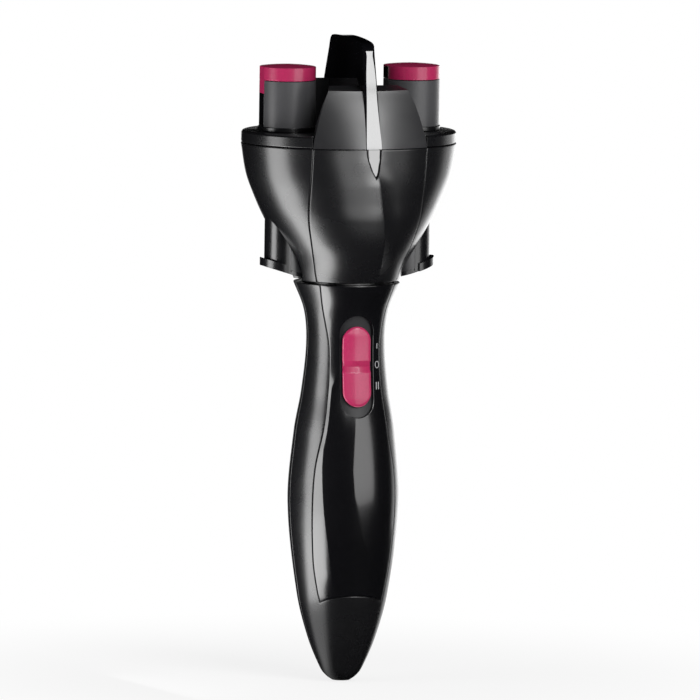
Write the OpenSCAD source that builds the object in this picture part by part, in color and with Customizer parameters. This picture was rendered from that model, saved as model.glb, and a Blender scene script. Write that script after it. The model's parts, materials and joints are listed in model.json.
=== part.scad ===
// Battery hair twister, upright, tip of the grip at the origin and the front towards -Y.
// A bellied grip carries an oval head that turns on the neck. Two spindles stand in the
// head, each with a spring-loaded hook cap that a lever under the head lifts.
// All sizes in mm. Heights are measured from the tip of the grip.

/* [Grip] */
// Radius of the small flat at the tip
tip_r = 3.4; // [2.6:0.1:4.2]
// Height of the ring where the tip's rounding ends
nose_h = 4.3; // [3.6:0.1:5.2]
// Radius of the grip at the nose ring
nose_r = 7.9; // [7.2:0.1:8.6]
// Height of the tail ring
tail_h = 16.6; // [14:0.2:19]
// Radius of the grip at the tail ring
tail_r = 13.1; // [12.5:0.1:13.8]
// Height of the hip ring, level with the battery's lower end
hip_h = 34; // [31:0.5:36]
// Radius of the grip at the hip ring
hip_r = 17.6; // [17.3:0.1:18.6]
// Height of the belly, the widest ring
belly_h = 69; // [64:0.5:74]
// Radius of the belly
belly_r = 21.6; // [20.8:0.1:23]
// Height of the flank ring
flank_h = 97; // [93:0.5:100]
// Radius of the grip at the flank ring
flank_r = 19.6; // [19:0.1:20.4]
// Height of the ring under the thumb
palm_h = 112.5; // [110:0.5:115]
// Radius of the grip under the thumb
palm_r = 17; // [16.6:0.1:17.6]
// Distance from the grip's top edge down to the waist, the thinnest ring
waist_drop = 24; // [21:0.5:27]
// Radius of the waist
waist_r = 15.3; // [15:0.1:16]
// Distance from the grip's top edge down to the collar ring, where the neck flares
collar_drop = 11; // [9:0.5:13]
// Radius of the grip at the collar ring
collar_r = 16.4; // [16:0.1:17]
// Height of the grip's top edge
grip_h = 155; // [153.5:0.5:157]
// Radius of the grip at its top edge
neck_r = 20.7; // [20:0.1:21.5]
// Wall of the two grip shells
grip_wall = 2.2; // [1.8:0.1:2.4]
// Height of the floor of the grip's hollow
cavity_h = 32; // [30:0.5:33]

/* [Glossy inlays] */
// Thickness of the inlay on the grip's front
inlay_t = 1.4; // [1:0.1:1.6]
// Gap all round an inlay
inlay_gap = 0.12; // [0.08:0.01:0.2]
// Height of the inlay's lower edge at its two corners
inlay_foot_h = 30.6; // [29:0.2:32]
// Rise of the inlay's lower edge in the middle
inlay_arch = 3.6; // [2:0.2:4.5]
// Thickness of the inlays on the head
head_inlay_t = 1.3; // [1:0.1:1.6]

/* [Switch] */
// Distance from the grip's top edge down to the middle of the switch
switch_drop = 31.7; // [30:0.1:33]
// Length of the recess round the thumb slider
recess_len = 39.6; // [39.4:0.1:41]
// Width of the recess
recess_w = 13.4; // [13:0.1:14]
// Depth of the recess floor under the grip's surface
recess_depth = 1.2; // [1:0.1:1.4]
// Length of the thumb slider
slider_len = 31; // [29:0.1:31.2]
// Width of the thumb slider
slider_w = 11.4; // [10.6:0.1:12]
// How far the thumb slider stands out of the grip's surface
slider_proud = 0.7; // [0.4:0.1:1.2]
// Width of the thumb groove across the slider
groove_w = 4.4; // [3:0.2:5]
// Depth of the thumb groove
groove_depth = 1; // [0.6:0.1:1.2]
// Travel of the thumb slider each way from off
slider_travel = 4; // [3:0.1:4.1]

/* [Battery] */
// Diameter of a cell
cell_d = 14.5; // [13.8:0.1:14.6]
// Length of a cell
cell_len = 50.5; // [48:0.5:51]
// Width of the battery door
door_w = 24; // [20:0.5:25]
// Height of the door's lower edge
door_foot_h = 34; // [33:0.2:36]
// Height of the door's upper edge
door_top_h = 92; // [88:0.5:94]

/* [Head] */
// Gap between the grip's top edge and the head
neck_gap = 0.9; // [0.6:0.1:1.6]
// Length of the cup
cup_len = 53.1; // [51:0.1:56]
// Half the width of the head at its rim
rim_a = 42.35; // [41:0.1:44]
// Half the depth of the head at its rim
rim_b = 34; // [33.5:0.1:36]
// Wall of the cup
cup_wall = 2.4; // [2:0.1:2.6]
// Height of the cover's edge band
cover_band = 4.6; // [4:0.1:5]
// Thickness of the cover's deck
deck_t = 2.4; // [2:0.1:3]
// Shadow gap between cup and cover
cover_gap = 0.2; // [0.1:0.05:0.4]

/* [Divider fin] */
// Height of the fin's top over the cup's rim
fin_len = 41.4; // [36:0.2:46]
// Thickness of the fin at its foot
fin_foot_t = 6; // [5:0.1:6.6]
// Thickness of the fin at its top
fin_top_t = 4.6; // [4:0.1:5]
// Width of the flat on the fin's front edge at the top
fin_edge_w = 2.3; // [1.6:0.1:3]
// Length of the spear below the fin's front edge
spear_len = 11; // [8:0.5:14]
// Height of the two shrouds beside the fin over the cup's rim
shroud_len = 22; // [16:0.2:25]

/* [Spindles] */
// Distance of each spindle from the middle
spindle_x = 25; // [24.5:0.5:25.5]
// Radius of a spindle tower
tower_r = 10.9; // [10.4:0.1:11.2]
// Distance of a tower's flats from its middle
tower_flat = 10.4; // [9.8:0.1:10.5]
// Height of the spindle's grey body above its base disc
tower_len = 17.8; // [16:0.2:20]
// Height of the hook cap
cap_len = 5.8; // [5:0.1:7]
// How far the hook cap's skirt reaches down the outer side
skirt_len = 5.3; // [4:0.1:6]
// Thickness of the base disc
base_t = 1.7; // [1.4:0.1:2]
// Radius of the spindle's journal
journal_r = 4.5; // [4:0.1:4.7]
// Radius of the hook's rod
rod_r = 2.5; // [2:0.1:2.8]
// Lift of the hook
hook_lift = 6; // [4:0.5:6]
// Wire of the hook's return spring
spring_wire = 0.8; // [0.6:0.1:0.8]

/* [Push levers] */
// Radius of the lever's sleeve
sleeve_r = 8.1; // [7.8:0.1:8.3]
// How far the lip stands out
lip_out = 1.7; // [1.2:0.1:2]
// Height of the lip
lip_t = 3; // [2.4:0.1:3.2]
// Slope of the lever's foot, in degrees
lever_slope = 17; // [12:1:18]

/* [Drive] */
// Tooth module
tooth_module = 1; // [1]
// Teeth of the sun gear
sun_teeth = 32; // [32]
// Face width of the gears
gear_w = 5.5; // [5:0.1:6]
// Backlash between two teeth
backlash = 0.16; // [0.1:0.01:0.24]
// Radius of the drive shaft
shaft_r = 3; // [2.6:0.1:3.2]
// Radius of the hub that the head turns on
hub_r = 8; // [7.6:0.1:8.4]
// Distance from the cup's rim down to the gears' lower faces
gear_drop = 9.5; // [9:0.1:10]

/* [Fits] */
// Running clearance of a journal, on the radius
run_gap = 0.05; // [0.03:0.01:0.08]
// Clearance of a sliding moulding
slide_gap = 0.3; // [0.2:0.05:0.35]

/* [Hidden] */
$fn = 72;
turn_fn = 96;
loft_fn = 56;
cup_steps = 11;
eps = 0.01;

waist_h = grip_h - waist_drop;
collar_h = grip_h - collar_drop;
cup_foot_h = grip_h + neck_gap;
cup_top_h = cup_foot_h + cup_len;
fin_top_h = cup_top_h + fin_len;
shroud_top_h = cup_top_h + shroud_len;
gear_h = cup_top_h - gear_drop;

// The grip's outline as rings of height and radius, and the head's as height, half width
// and half depth. Both are read between rings with a smooth curve.
grip_rings = [
    [0, tip_r], [nose_h * 0.36, (tip_r + nose_r) / 2], [nose_h, nose_r], [tail_h, tail_r],
    [hip_h, hip_r], [belly_h, belly_r], [flank_h, flank_r], [palm_h, palm_r],
    [waist_h, waist_r], [collar_h, collar_r], [grip_h, neck_r]
];
foot_a = neck_r - 0.2;
cup_rings = [
    [cup_foot_h, foot_a, foot_a],
    [cup_foot_h + cup_len * 0.115, foot_a + 2.1, foot_a + 3],
    [cup_foot_h + cup_len * 0.285, foot_a + 7.2, foot_a + 7.8],
    [cup_foot_h + cup_len * 0.46, foot_a + 12.5, rim_b - 3.5],
    [cup_foot_h + cup_len * 0.605, rim_a - 5.65, rim_b - 2.6],
    [cup_foot_h + cup_len * 0.775, rim_a - 2.15, rim_b - 1.4],
    [cup_top_h, rim_a, rim_b]
];
// Half widths of the two inlays, seen from the front
inlay_rings = [
    [inlay_foot_h, 12.2], [36, 13.6], [48, 15.6], [68, 16.7], [83.5, 15.9], [99, 12.9],
    [110, 11.3], [121.5, 10.3], [134, 10.6], [grip_h + 1, 15.3]
];
head_inlay_rings = [
    [cup_foot_h - 1, 15.7], [cup_foot_h + 6, 17.6], [cup_foot_h + 15, 20.2],
    [cup_foot_h + 24, 22.3], [cup_foot_h + 32, 22.9], [cup_top_h + 1, 23]
];

// Heights in the head
cover_foot_h = cup_top_h + cover_gap;
deck_h = cover_foot_h + cover_band;
deck_low_h = deck_h - deck_t;
base_h = deck_h + 0.1;
tower_h = base_h + base_t;
tower_top_h = tower_h + tower_len;
cap_h = tower_top_h + 0.3;
cap_top_h = cap_h + cap_len;
plate_t = 3;
plate_h = gear_h - 8;
plate_top_h = plate_h + plate_t;
journal_foot_h = plate_h - 3;
boss_h = gear_h + gear_w + 1.3;
boss_r = 9;
bush_wall = 1.4;
lever_top_h = plate_h - 11.5;
lever_rim_h = plate_h - 1.2 - hook_lift;
lever_wall = 1.25;
lever_sole = 1.6;
neck_gap_h = cup_foot_h - 0.35;
lid_t = 1.8;
foot_t = 1.6;
foot_r = sleeve_r - 3.1;
lever_foot_h = cup_foot_h + 2.5;
floor_t = 3.5;
shroud_y = 18;
shroud_rise = 1.6;
shroud_x = 23;
notch_y = rim_b - 7.5;
notch_x = shroud_x + 0.1;
plate_r = spindle_x - 1;
plate_screw_x = spindle_x - 10.5;
plate_screw_y = plate_r - 6.5;
plate_screw_len = 7;
ear_r = 9.6;
door_corner = 3;

// Gears
planet_teeth = round(2 * spindle_x / tooth_module) - sun_teeth;

// Heights in the grip
switch_h = grip_h - switch_drop;
cell_x = cell_d / 2 + 0.35;
cell_y = 2;
cell_h = cavity_h + 4.5;
bulkhead_h = cell_h + cell_len + 2.5;
bulkhead_t = 3;
motor_h = bulkhead_h + bulkhead_t;
motor_len = 26;
motor_r = 10.05;
motor_flat = 7.55;
gearbox_h = motor_h + motor_len;
gearbox_r = 8.8;
gearbox_top_h = collar_h - 1;
hub_foot_h = gearbox_top_h + 2.5;
ring_h = hub_foot_h + 0.8;
ring_t = 1.2;
ring_r = hub_r + 2;
neck_plate_h = ring_h + ring_t + 0.3;
neck_plate_top_h = grip_h - 0.6;
clutch_wall = 3;
board_y = 9;
board_t = 1.2;
switch_case_t = 1.6;
bezel_t = 1.4;
stem_w = 3;
stem_len = 8;
screw_heads = [24, grip_h - 3.8];
board_w = 14.4;
board_len = 34;
board_drop = 18;
switch_case_w = 8.4;
switch_case_len = 18;
drive_clutch_r = shaft_r + 3;

// ---- curves -------------------------------------------------------------------------

function span(from, to, steps) = [for (i = [0:steps]) from + (to - from) * i / steps];
function slope(s, i, c) = let (lo = max(i - 1, 0), hi = min(i + 1, len(s) - 1))
    (s[hi][c] - s[lo][c]) / (s[hi][0] - s[lo][0]);
function piece(s, z, i = 0) =
    i >= len(s) - 2 || z < s[i + 1][0] ? i : piece(s, z, i + 1);
// Smooth value of column c of the rings s at height z
function at(s, z, c = 1) = let (
        i = piece(s, z), h = s[i + 1][0] - s[i][0], t = min(max((z - s[i][0]) / h, 0), 1))
    (1 + 2 * t) * (1 - t) * (1 - t) * s[i][c] + t * (1 - t) * (1 - t) * h * slope(s, i, c)
    + t * t * (3 - 2 * t) * s[i + 1][c] - t * t * (1 - t) * h * slope(s, i + 1, c);
function grip_at(z) = at(grip_rings, z);
function cup_ring(z, off = 0) = [z, at(cup_rings, z, 1) - off, at(cup_rings, z, 2) - off];

// Body of revolution between two offsets from the grip's surface; off_in = undef is solid
module grip_turned(off_out, off_in, z0, z1, steps) {
    rotate_extrude($fn = turn_fn) polygon(concat(
        [for (z = span(z0, z1, steps)) [grip_at(z) - off_out, z]],
        off_in == undef ? [[0, z1], [0, z0]]
            : [for (z = span(z1, z0, steps)) [grip_at(z) - off_in, z]]));
}

// Oval solid through rings of [height, half width, half depth]; closed joins last to first
module loft(rings, closed = false) {
    m = len(rings);
    n = loft_fn;
    polyhedron(
        points = [for (r = rings, i = [0:n - 1])
            [r[1] * cos(360 * i / n), r[2] * sin(360 * i / n), r[0]]],
        faces = concat(
            [for (k = [0:closed ? m - 1 : m - 2], i = [0:n - 1], half = [0, 1])
                let (j = (i + 1) % n, l = (k + 1) % m)
                half == 0 ? [k * n + i, l * n + i, l * n + j] : [k * n + i, l * n + j, k * n + j]],
            closed ? [] : [[for (i = [0:n - 1]) i], [for (i = [n - 1:-1:0]) (m - 1) * n + i]]));
}

// Prism of a front-view outline [x, z], reaching from the middle plane to the front
module to_front(depth = 60) rotate([90, 0, 0]) linear_extrude(height = depth) children();
module to_back(depth = 60) mirror([0, 1, 0]) to_front(depth) children();

// Upright pill of total length len and width w, centred on height h
module pill(len, w, h) {
    translate([-w / 2, h - len / 2 + w / 2]) square([w, len - w]);
    for (s = [-1, 1]) translate([0, h + s * (len - w) / 2]) circle(d = w);
}
module rounded_rect(w, z0, z1, r) {
    translate([-w / 2, z0 + r]) square([w, z1 - z0 - 2 * r]);
    translate([-w / 2 + r, z0]) square([w - 2 * r, z1 - z0]);
    for (x = [-w / 2 + r, w / 2 - r], z = [z0 + r, z1 - r]) translate([x, z]) circle(r = r);
}
module outline(s, z0, z1, steps, gap) {
    polygon(concat(
        [for (z = span(z0, z1, steps)) [at(s, z) - gap, z]],
        [for (z = span(z1, z0, steps)) [gap - at(s, z), z]]));
}
module disc(r, z0, z1) translate([0, 0, z0]) cylinder(r = r, h = z1 - z0);
module ring(r, bore, z0, z1) {
    difference() {
        disc(r, z0, z1);
        disc(bore, z0 - 1, z1 + 1);
    }
}
module mirrored(side) { if (side > 0) mirror([1, 0, 0]) children(); else children(); }
module at_spindle() translate([-spindle_x, 0, 0]) children();

// Involute gear; phase turns it by a share of a tooth
function inv(a) = tan(a) * 180 / PI - a;
function flank(r, rb, teeth, play) =
    90 / teeth + inv(20) - inv(r > rb ? acos(rb / r) : 0) - play;
module gear(teeth, bore, phase) {
    rp = tooth_module * teeth / 2;
    rb = rp * cos(20);
    play = backlash / 4 / rp * 180 / PI;
    root = rp - 1.25 * tooth_module;
    tip = rp + 0.95 * tooth_module;
    heights = [root, max(rb, root + 0.1), rp, tip];
    translate([0, 0, gear_h]) linear_extrude(height = gear_w) difference() {
        polygon([for (k = [0:teeth - 1], s = [-1, 1], i = [0:3])
            let (r = heights[s < 0 ? i : 3 - i],
                a = 360 * (k + phase) / teeth + s * flank(r, rb, teeth, play))
            [r * cos(a), r * sin(a)]]);
        circle(r = bore);
    }
}

// Round wire wound on a cylinder, with both ends flat against their seats
module coil(mean_r, wire, z0, z1, turns) {
    sides = 6;
    per_turn = 14;
    n = turns * per_turn;
    rise = (z1 - z0 - wire) / n;
    polyhedron(
        points = [for (i = [0:n], j = [0:sides - 1])
            let (a = 360 * i / per_turn, b = 360 * (j + 0.5) / sides,
                r = mean_r + wire / 2 * cos(b))
            [r * cos(a), r * sin(a), z0 + wire / 2 + rise * i + wire / 2 * sin(b)]],
        faces = concat(
            [for (i = [0:n - 1], j = [0:sides - 1], half = [0, 1])
                let (k = (j + 1) % sides, p = i * sides, q = p + sides)
                half == 0 ? [p + j, q + j, q + k] : [p + j, q + k, p + k]],
            [[for (j = [0:sides - 1]) j], [for (j = [sides - 1:-1:0]) n * sides + j]]));
}

// ---- grip ---------------------------------------------------------------------------

module inlay_outline(gap) {
    difference() {
        outline(inlay_rings, inlay_foot_h + gap, grip_h + 1, 24, gap);
        polygon([for (i = [-8:8]) let (u = i / 8)
            [u * 14, inlay_foot_h + gap + inlay_arch * (1 - u * u) * (i % 8 == 0 && i != 0 ? 0 : 1)]]);
    }
}
module door_outline(gap)
    rounded_rect(door_w - 2 * gap, door_foot_h + gap, door_top_h - gap, door_corner);
module recess_prism(gap) to_front() pill(recess_len - 2 * gap, recess_w - 2 * gap, switch_h);
module stem_slot() to_front() pill(stem_len + 2 * slider_travel + 0.6, stem_w + 0.6, switch_h);

module screw(head_r, shank_r, from, to, head_t) {
    // Along +Y, the head's top at "from" and the point at "to"
    translate([0, from, 0]) rotate([90, 0, 0]) cylinder(r = head_r, h = head_t);
    translate([0, from - head_t, 0]) rotate([90, 0, 0])
        cylinder(r = shank_r, h = from - head_t - to);
}
module screw_hole(z, r) translate([0, 0, z]) rotate([-90, 0, 0]) {
    cylinder(r = r, h = 40);
    translate([0, 0, grip_at(z) - 2.6]) cylinder(r = 2.3, h = 20);
}
module grip_solid() {
    difference() {
        grip_turned(0, undef, 0, grip_h, 64);
        grip_turned(grip_wall, undef, cavity_h, grip_h - 0.001, 48);
        translate([0, 0, grip_h - 0.5]) cylinder(r = neck_r - grip_wall - 0.3, h = 2);
    }
}

module handle_front_shell() {
    color([0.05, 0.05, 0.055]) difference() {
        intersection() {
            grip_solid();
            translate([-40, -80, -1]) cube([80, 80, grip_h + 2]);
        }
        intersection() {
            grip_turned(-1, inlay_t, inlay_foot_h, grip_h, 64);
            to_front() inlay_outline(0);
        }
        recess_prism(0);
        translate([0, 0, screw_heads[0]]) rotate([90, 0, 0]) cylinder(r = 1, h = 6);
    }
}

module handle_rear_shell() {
    color([0.05, 0.05, 0.055]) difference() {
        intersection() {
            grip_solid();
            translate([-40, 0, -1]) cube([80, 80, grip_h + 2]);
        }
        to_back() door_outline(0);
        for (z = screw_heads) screw_hole(z, 1.15);
    }
}

module case_screws() {
    color("silver") for (z = screw_heads) translate([0, 0, z])
        screw(2.1, 1, grip_at(z) - 1, z < cavity_h ? -5 : hub_r + clutch_wall + 1, 1.6);
}

module front_panel() {
    color([0.02, 0.02, 0.02]) difference() {
        intersection() {
            grip_turned(0, inlay_t, inlay_foot_h, grip_h, 64);
            to_front() inlay_outline(inlay_gap);
        }
        recess_prism(0);
    }
}

// The recess floor follows the grip, and the slider's back keeps clear of it at both ends
module switch_bezel() {
    color([0.2, 0.2, 0.21]) difference() {
        intersection() {
            grip_turned(recess_depth, recess_depth + bezel_t,
                switch_h - recess_len / 2 - 1, switch_h + recess_len / 2 + 1, 24);
            recess_prism(0.05);
        }
        stem_slot();
    }
}

function slider_back(z) =
    max(grip_at(z - slider_travel), grip_at(z + slider_travel), grip_at(z))
    - recess_depth + 0.25;
// Space inside the slider's curved back
module slider_inside() rotate_extrude($fn = turn_fn) polygon(concat(
    [[0, switch_h - slider_len / 2 - 0.5]],
    [for (z = span(switch_h - slider_len / 2 - 0.5, switch_h + slider_len / 2 + 0.5, 20))
        [slider_back(z), z]],
    [[0, switch_h + slider_len / 2 + 0.5]]));
module switch_button() {
    half = slider_len / 2;
    color([0.75, 0.18, 0.37]) difference() {
        intersection() {
            rotate_extrude($fn = turn_fn) polygon(concat(
                [[0, switch_h - half - 0.5]],
                [for (z = span(switch_h - half - 0.5, switch_h + half + 0.5, 20))
                    [grip_at(z) + slider_proud * min(1, (half + 0.9 - abs(z - switch_h)) / 4), z]],
                [[0, switch_h + half + 0.5]]));
            to_front() pill(slider_len, slider_w, switch_h);
        }
        slider_inside();
        // Thumb groove, a shallow V across the middle
        translate([-10, 0, 0]) rotate([90, 0, 90]) linear_extrude(height = 20) polygon([
            [-grip_at(switch_h) - slider_proud + groove_depth, switch_h],
            [-grip_at(switch_h) - slider_proud - 1, switch_h + groove_w * 0.9],
            [-grip_at(switch_h) - slider_proud - 1, switch_h - groove_w * 0.9]]);
    }
}

// Reaches from the slider's back through the floor's slot into the slide switch
module switch_stem() {
    near = board_y + board_t + 0.6;
    color([0.1, 0.1, 0.1]) intersection() {
        slider_inside();
        to_front() pill(stem_len, stem_w, switch_h);
        translate([-10, -40, switch_h - 10]) cube([20, 40 - near, 20]);
    }
}

module slide_switch() {
    y = board_y + board_t;
    color("silver") difference() {
        translate([-switch_case_w / 2, -y - switch_case_t, switch_h - switch_case_len / 2])
            cube([switch_case_w, switch_case_t, switch_case_len]);
        intersection() {
            stem_slot();
            translate([-10, -y - 10, switch_h - 20]) cube([20, 9.7, 40]);
        }
    }
}

module circuit_board() {
    color([0.1, 0.35, 0.2]) translate([-board_w / 2, -board_y - board_t, switch_h - board_drop])
        cube([board_w, board_t, board_len]);
}

module motor() {
    color("silver") intersection() {
        disc(motor_r, motor_h, gearbox_h);
        translate([-motor_r, -motor_flat, motor_h])
            cube([2 * motor_r, 2 * motor_flat, motor_len]);
    }
}

module gearbox_housing() {
    color([0.85, 0.85, 0.8]) difference() {
        union() {
            disc(gearbox_r, gearbox_h, gearbox_top_h);
            disc(shaft_r + 1.6, gearbox_top_h - eps, gearbox_top_h + 1.2);
        }
        disc(shaft_r + run_gap, gearbox_top_h - 7, gearbox_top_h + 2);
    }
}

module chassis() {
    rail_x = motor_r + 0.3;
    color([0.3, 0.3, 0.32]) {
        intersection() {
            grip_turned(grip_wall + 0.1, undef, bulkhead_h, motor_h, 3);
            translate([-13.5, -30, 0]) cube([27, 60, 200]);
        }
        for (s = [-1, 1]) intersection() {
            grip_turned(grip_wall + 0.1, undef, motor_h - eps, neck_plate_h, 20);
            translate([s > 0 ? rail_x : -rail_x - 1.8, -3, motor_h - eps])
                cube([1.8, 6, neck_plate_h - motor_h + eps]);
        }
    }
}

module battery_cells() {
    color([0.55, 0.5, 0.3]) for (s = [-1, 1]) translate([s * cell_x, cell_y, 0]) {
        mirror([0, 0, s > 0 ? 1 : 0]) translate([0, 0, s > 0 ? -2 * cell_h - cell_len : 0]) {
            disc(cell_d / 2, cell_h, cell_h + cell_len - 1.2);
            disc(2.6, cell_h + cell_len - 1.2 - eps, cell_h + cell_len);
        }
    }
}

module contact_cone(z0, z1) translate([0, 0, z0]) cylinder(r1 = 4.6, r2 = 2.6, h = z1 - z0);
module battery_link() {
    color("silver") {
        translate([-13, cell_y - 4, cavity_h]) cube([26, 8, 1]);
        for (s = [-1, 1]) translate([s * cell_x, cell_y, 0])
            contact_cone(cavity_h + 1 - eps, cell_h);
    }
}
module battery_terminals() {
    top = cell_h + cell_len;
    color("silver") for (s = [-1, 1]) translate([s * cell_x, cell_y, 0]) {
        translate([-5, -4, bulkhead_h - 0.8]) cube([10, 8, 0.8]);
        translate([0, 0, top + bulkhead_h - 0.8]) mirror([0, 0, 1])
            contact_cone(top - eps, bulkhead_h - 0.8);
    }
}

// Hinged along its lower edge on the grip's surface, with two hooks behind the sill
module battery_door() {
    color([0.05, 0.05, 0.055]) {
        intersection() {
            grip_turned(0, grip_wall, door_foot_h, door_top_h, 32);
            to_back() door_outline(slide_gap);
        }
        for (s = [-1, 1]) {
            x = s * (door_w / 2 - 5.5);
            y = sqrt(pow(grip_at(door_foot_h) - grip_wall, 2) - x * x) - 1.3;
            translate([x - 1.5, y - 0.9, door_foot_h - 1]) cube([3, 1.1, 4]);
            translate([x - 1.5, y - 0.9, door_foot_h + 1.6]) cube([3, 2.6, 1.4]);
        }
    }
}

module neck_plate() {
    color([0.12, 0.12, 0.12]) difference() {
        union() {
            grip_turned(grip_wall + 0.05, undef, neck_plate_h, neck_plate_top_h, 8);
            // Collar that closes the gap under the head
            disc(neck_r - grip_wall - 1.6, neck_plate_top_h - eps, neck_gap_h);
        }
        disc(neck_r - grip_wall - 3.2, neck_plate_top_h, neck_gap_h + 1);
        disc(hub_r + run_gap + clutch_wall, neck_plate_h + 1, grip_h + 2);
        disc(hub_r + 0.5, neck_plate_h - 1, grip_h);
        screw_hole(screw_heads[1], 1);
    }
}

// Sealed one-way bearing: the head can turn one way only
module neck_clutch() {
    color("silver") ring(hub_r + run_gap + clutch_wall, hub_r + run_gap,
        neck_plate_h + 1, neck_plate_top_h - 0.4);
}

// ---- head ---------------------------------------------------------------------------

module cup_outline(gap) outline(head_inlay_rings, cup_foot_h - 1, cup_top_h + 1, 20, gap);
// Skin of the cup between two offsets, from one of its steps up to the rim
module inlay_band(out, depth, first = 0) loft(concat(
    [for (i = [first:cup_steps]) cup_ring(cup_foot_h + cup_len * i / cup_steps, -out)],
    [for (i = [cup_steps:-1:first]) cup_ring(cup_foot_h + cup_len * i / cup_steps, depth)]),
    closed = true);

module head_cup() {
    inside_h = cup_foot_h + floor_t;
    color([0.02, 0.02, 0.02]) difference() {
        union() {
            loft(concat(
                [for (z = span(cup_foot_h, cup_top_h, cup_steps)) cup_ring(z)],
                [for (z = span(cup_top_h, inside_h, 9)) cup_ring(z, cup_wall)],
                [[inside_h, hub_r - 1, hub_r - 1], [cup_foot_h, hub_r - 1, hub_r - 1]]),
                closed = true);
            disc(hub_r, hub_foot_h, inside_h + 2);
        }
        intersection() {
            inlay_band(1, head_inlay_t);
            union() {
                to_front() cup_outline(0);
                to_back() cup_outline(0);
            }
        }
        disc(shaft_r + 1.2, hub_foot_h - 1, inside_h + 3);
        for (s = [-1, 1]) translate([s * spindle_x, 0, 0])
            disc(sleeve_r + slide_gap, cup_foot_h - 1, plate_h - 2);
        // Groove for the retaining ring
        ring(hub_r + 1, hub_r - 1, ring_h, ring_h + ring_t);
    }
}

module cup_panel() {
    difference() {
        intersection() {
            inlay_band(0, head_inlay_t);
            children();
        }
        to_front() spear_outline(inlay_gap);
        to_back() spear_outline(inlay_gap);
    }
}
module cup_front_panel() color([0.03, 0.03, 0.03]) cup_panel() to_front() cup_outline(inlay_gap);
module cup_rear_panel() color([0.03, 0.03, 0.03]) cup_panel() to_back() cup_outline(inlay_gap);

function cover_ring(z, off) = [z, rim_a - off, rim_b - off];
module at_plate_screws() for (x = [-1, 1], y = [-1, 1])
    translate([x * plate_screw_x, y * plate_screw_y, 0]) children();
module head_cover() {
    color([0.02, 0.02, 0.02]) difference() {
        union() {
            difference() {
                loft([cover_ring(cover_foot_h, 0.5), cover_ring(cover_foot_h + 0.4, 0.1),
                    cover_ring(deck_h - 0.7, 0.15), cover_ring(deck_h - 0.2, 0.5),
                    cover_ring(deck_h, 1)]);
                loft([cover_ring(cover_foot_h - 1, cup_wall + 0.6),
                    cover_ring(deck_low_h, cup_wall + 0.6)]);
            }
            for (s = [-1, 1]) translate([s * spindle_x, 0, 0]) disc(boss_r, boss_h, deck_h);
            at_plate_screws() disc(2.6, plate_top_h, deck_h);
        }
        for (s = [-1, 1]) translate([s * spindle_x, 0, 0])
            disc(journal_r + run_gap + bush_wall, boss_h - 1, deck_h + 1);
        at_plate_screws() disc(1, plate_top_h - 1, plate_top_h + plate_screw_len + 1);
        for (s = [-1, 1]) translate([-notch_x, s > 0 ? notch_y : -notch_y - 20, 0])
            translate([0, 0, cover_foot_h - 1]) cube([2 * notch_x, 20, cover_band + 5]);
    }
}

// Spear that carries the fin's edge on down the inlay, seen from the front
module spear_outline(gap) polygon([
    [-fin_foot_t / 2 - gap, cup_top_h + 2], [-fin_foot_t / 2 - gap, cup_top_h - 1],
    [0, cup_top_h - spear_len - gap * 3], [fin_foot_t / 2 + gap, cup_top_h - 1],
    [fin_foot_t / 2 + gap, cup_top_h + 2]]);
// Side view of the fin as [y, z]; the front is the steep end. The upper points lie at
// shares of the height over the deck.
fin_foot_y = rim_b + 0.2;
fin_inner_y = rim_b - 2.6;
function over_deck(share) = deck_h + share * (fin_top_h - deck_h);
fin_front = [
    [-30.2, 0.345], [-28.2, 0.625], [-25.9, 0.845], [-24.9, 0.915], [-23.2, 0.955],
    [-20.4, 0.975], [-9, 0.993], [0, 1]
];
fin_back = [[14, 0.984], [17, 0.973], [18.9, 0.94], [20, 0.89], [25.4, 0.508]];
fin_outline = concat(
    [[-fin_foot_y, cover_foot_h], [0.5 - fin_foot_y, deck_h - 1]],
    [for (p = concat(fin_front, fin_back)) [p[0], over_deck(p[1])]],
    [[fin_foot_y - 1.2, deck_h - 1], [fin_foot_y, cover_foot_h], [fin_inner_y, cover_foot_h],
        [fin_inner_y, deck_h], [-fin_inner_y, deck_h], [-fin_inner_y, cover_foot_h]]);
function fin_t(z) = fin_foot_t + (fin_top_t - fin_foot_t)
    * (z - cover_foot_h) / (fin_top_h - cover_foot_h);
module fin_wedge(gap) {
    // Front view: thick at the foot, thin at the top
    low = cover_foot_h - 5;
    high = max(fin_top_h, shroud_top_h + shroud_rise) + 5;
    translate([0, 2 * rim_b, 0]) to_front(4 * rim_b) polygon([
        [-fin_t(low) / 2 - gap, low], [fin_t(low) / 2 + gap, low],
        [fin_t(high) / 2 + gap, high], [-fin_t(high) / 2 - gap, high]]);
}
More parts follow.
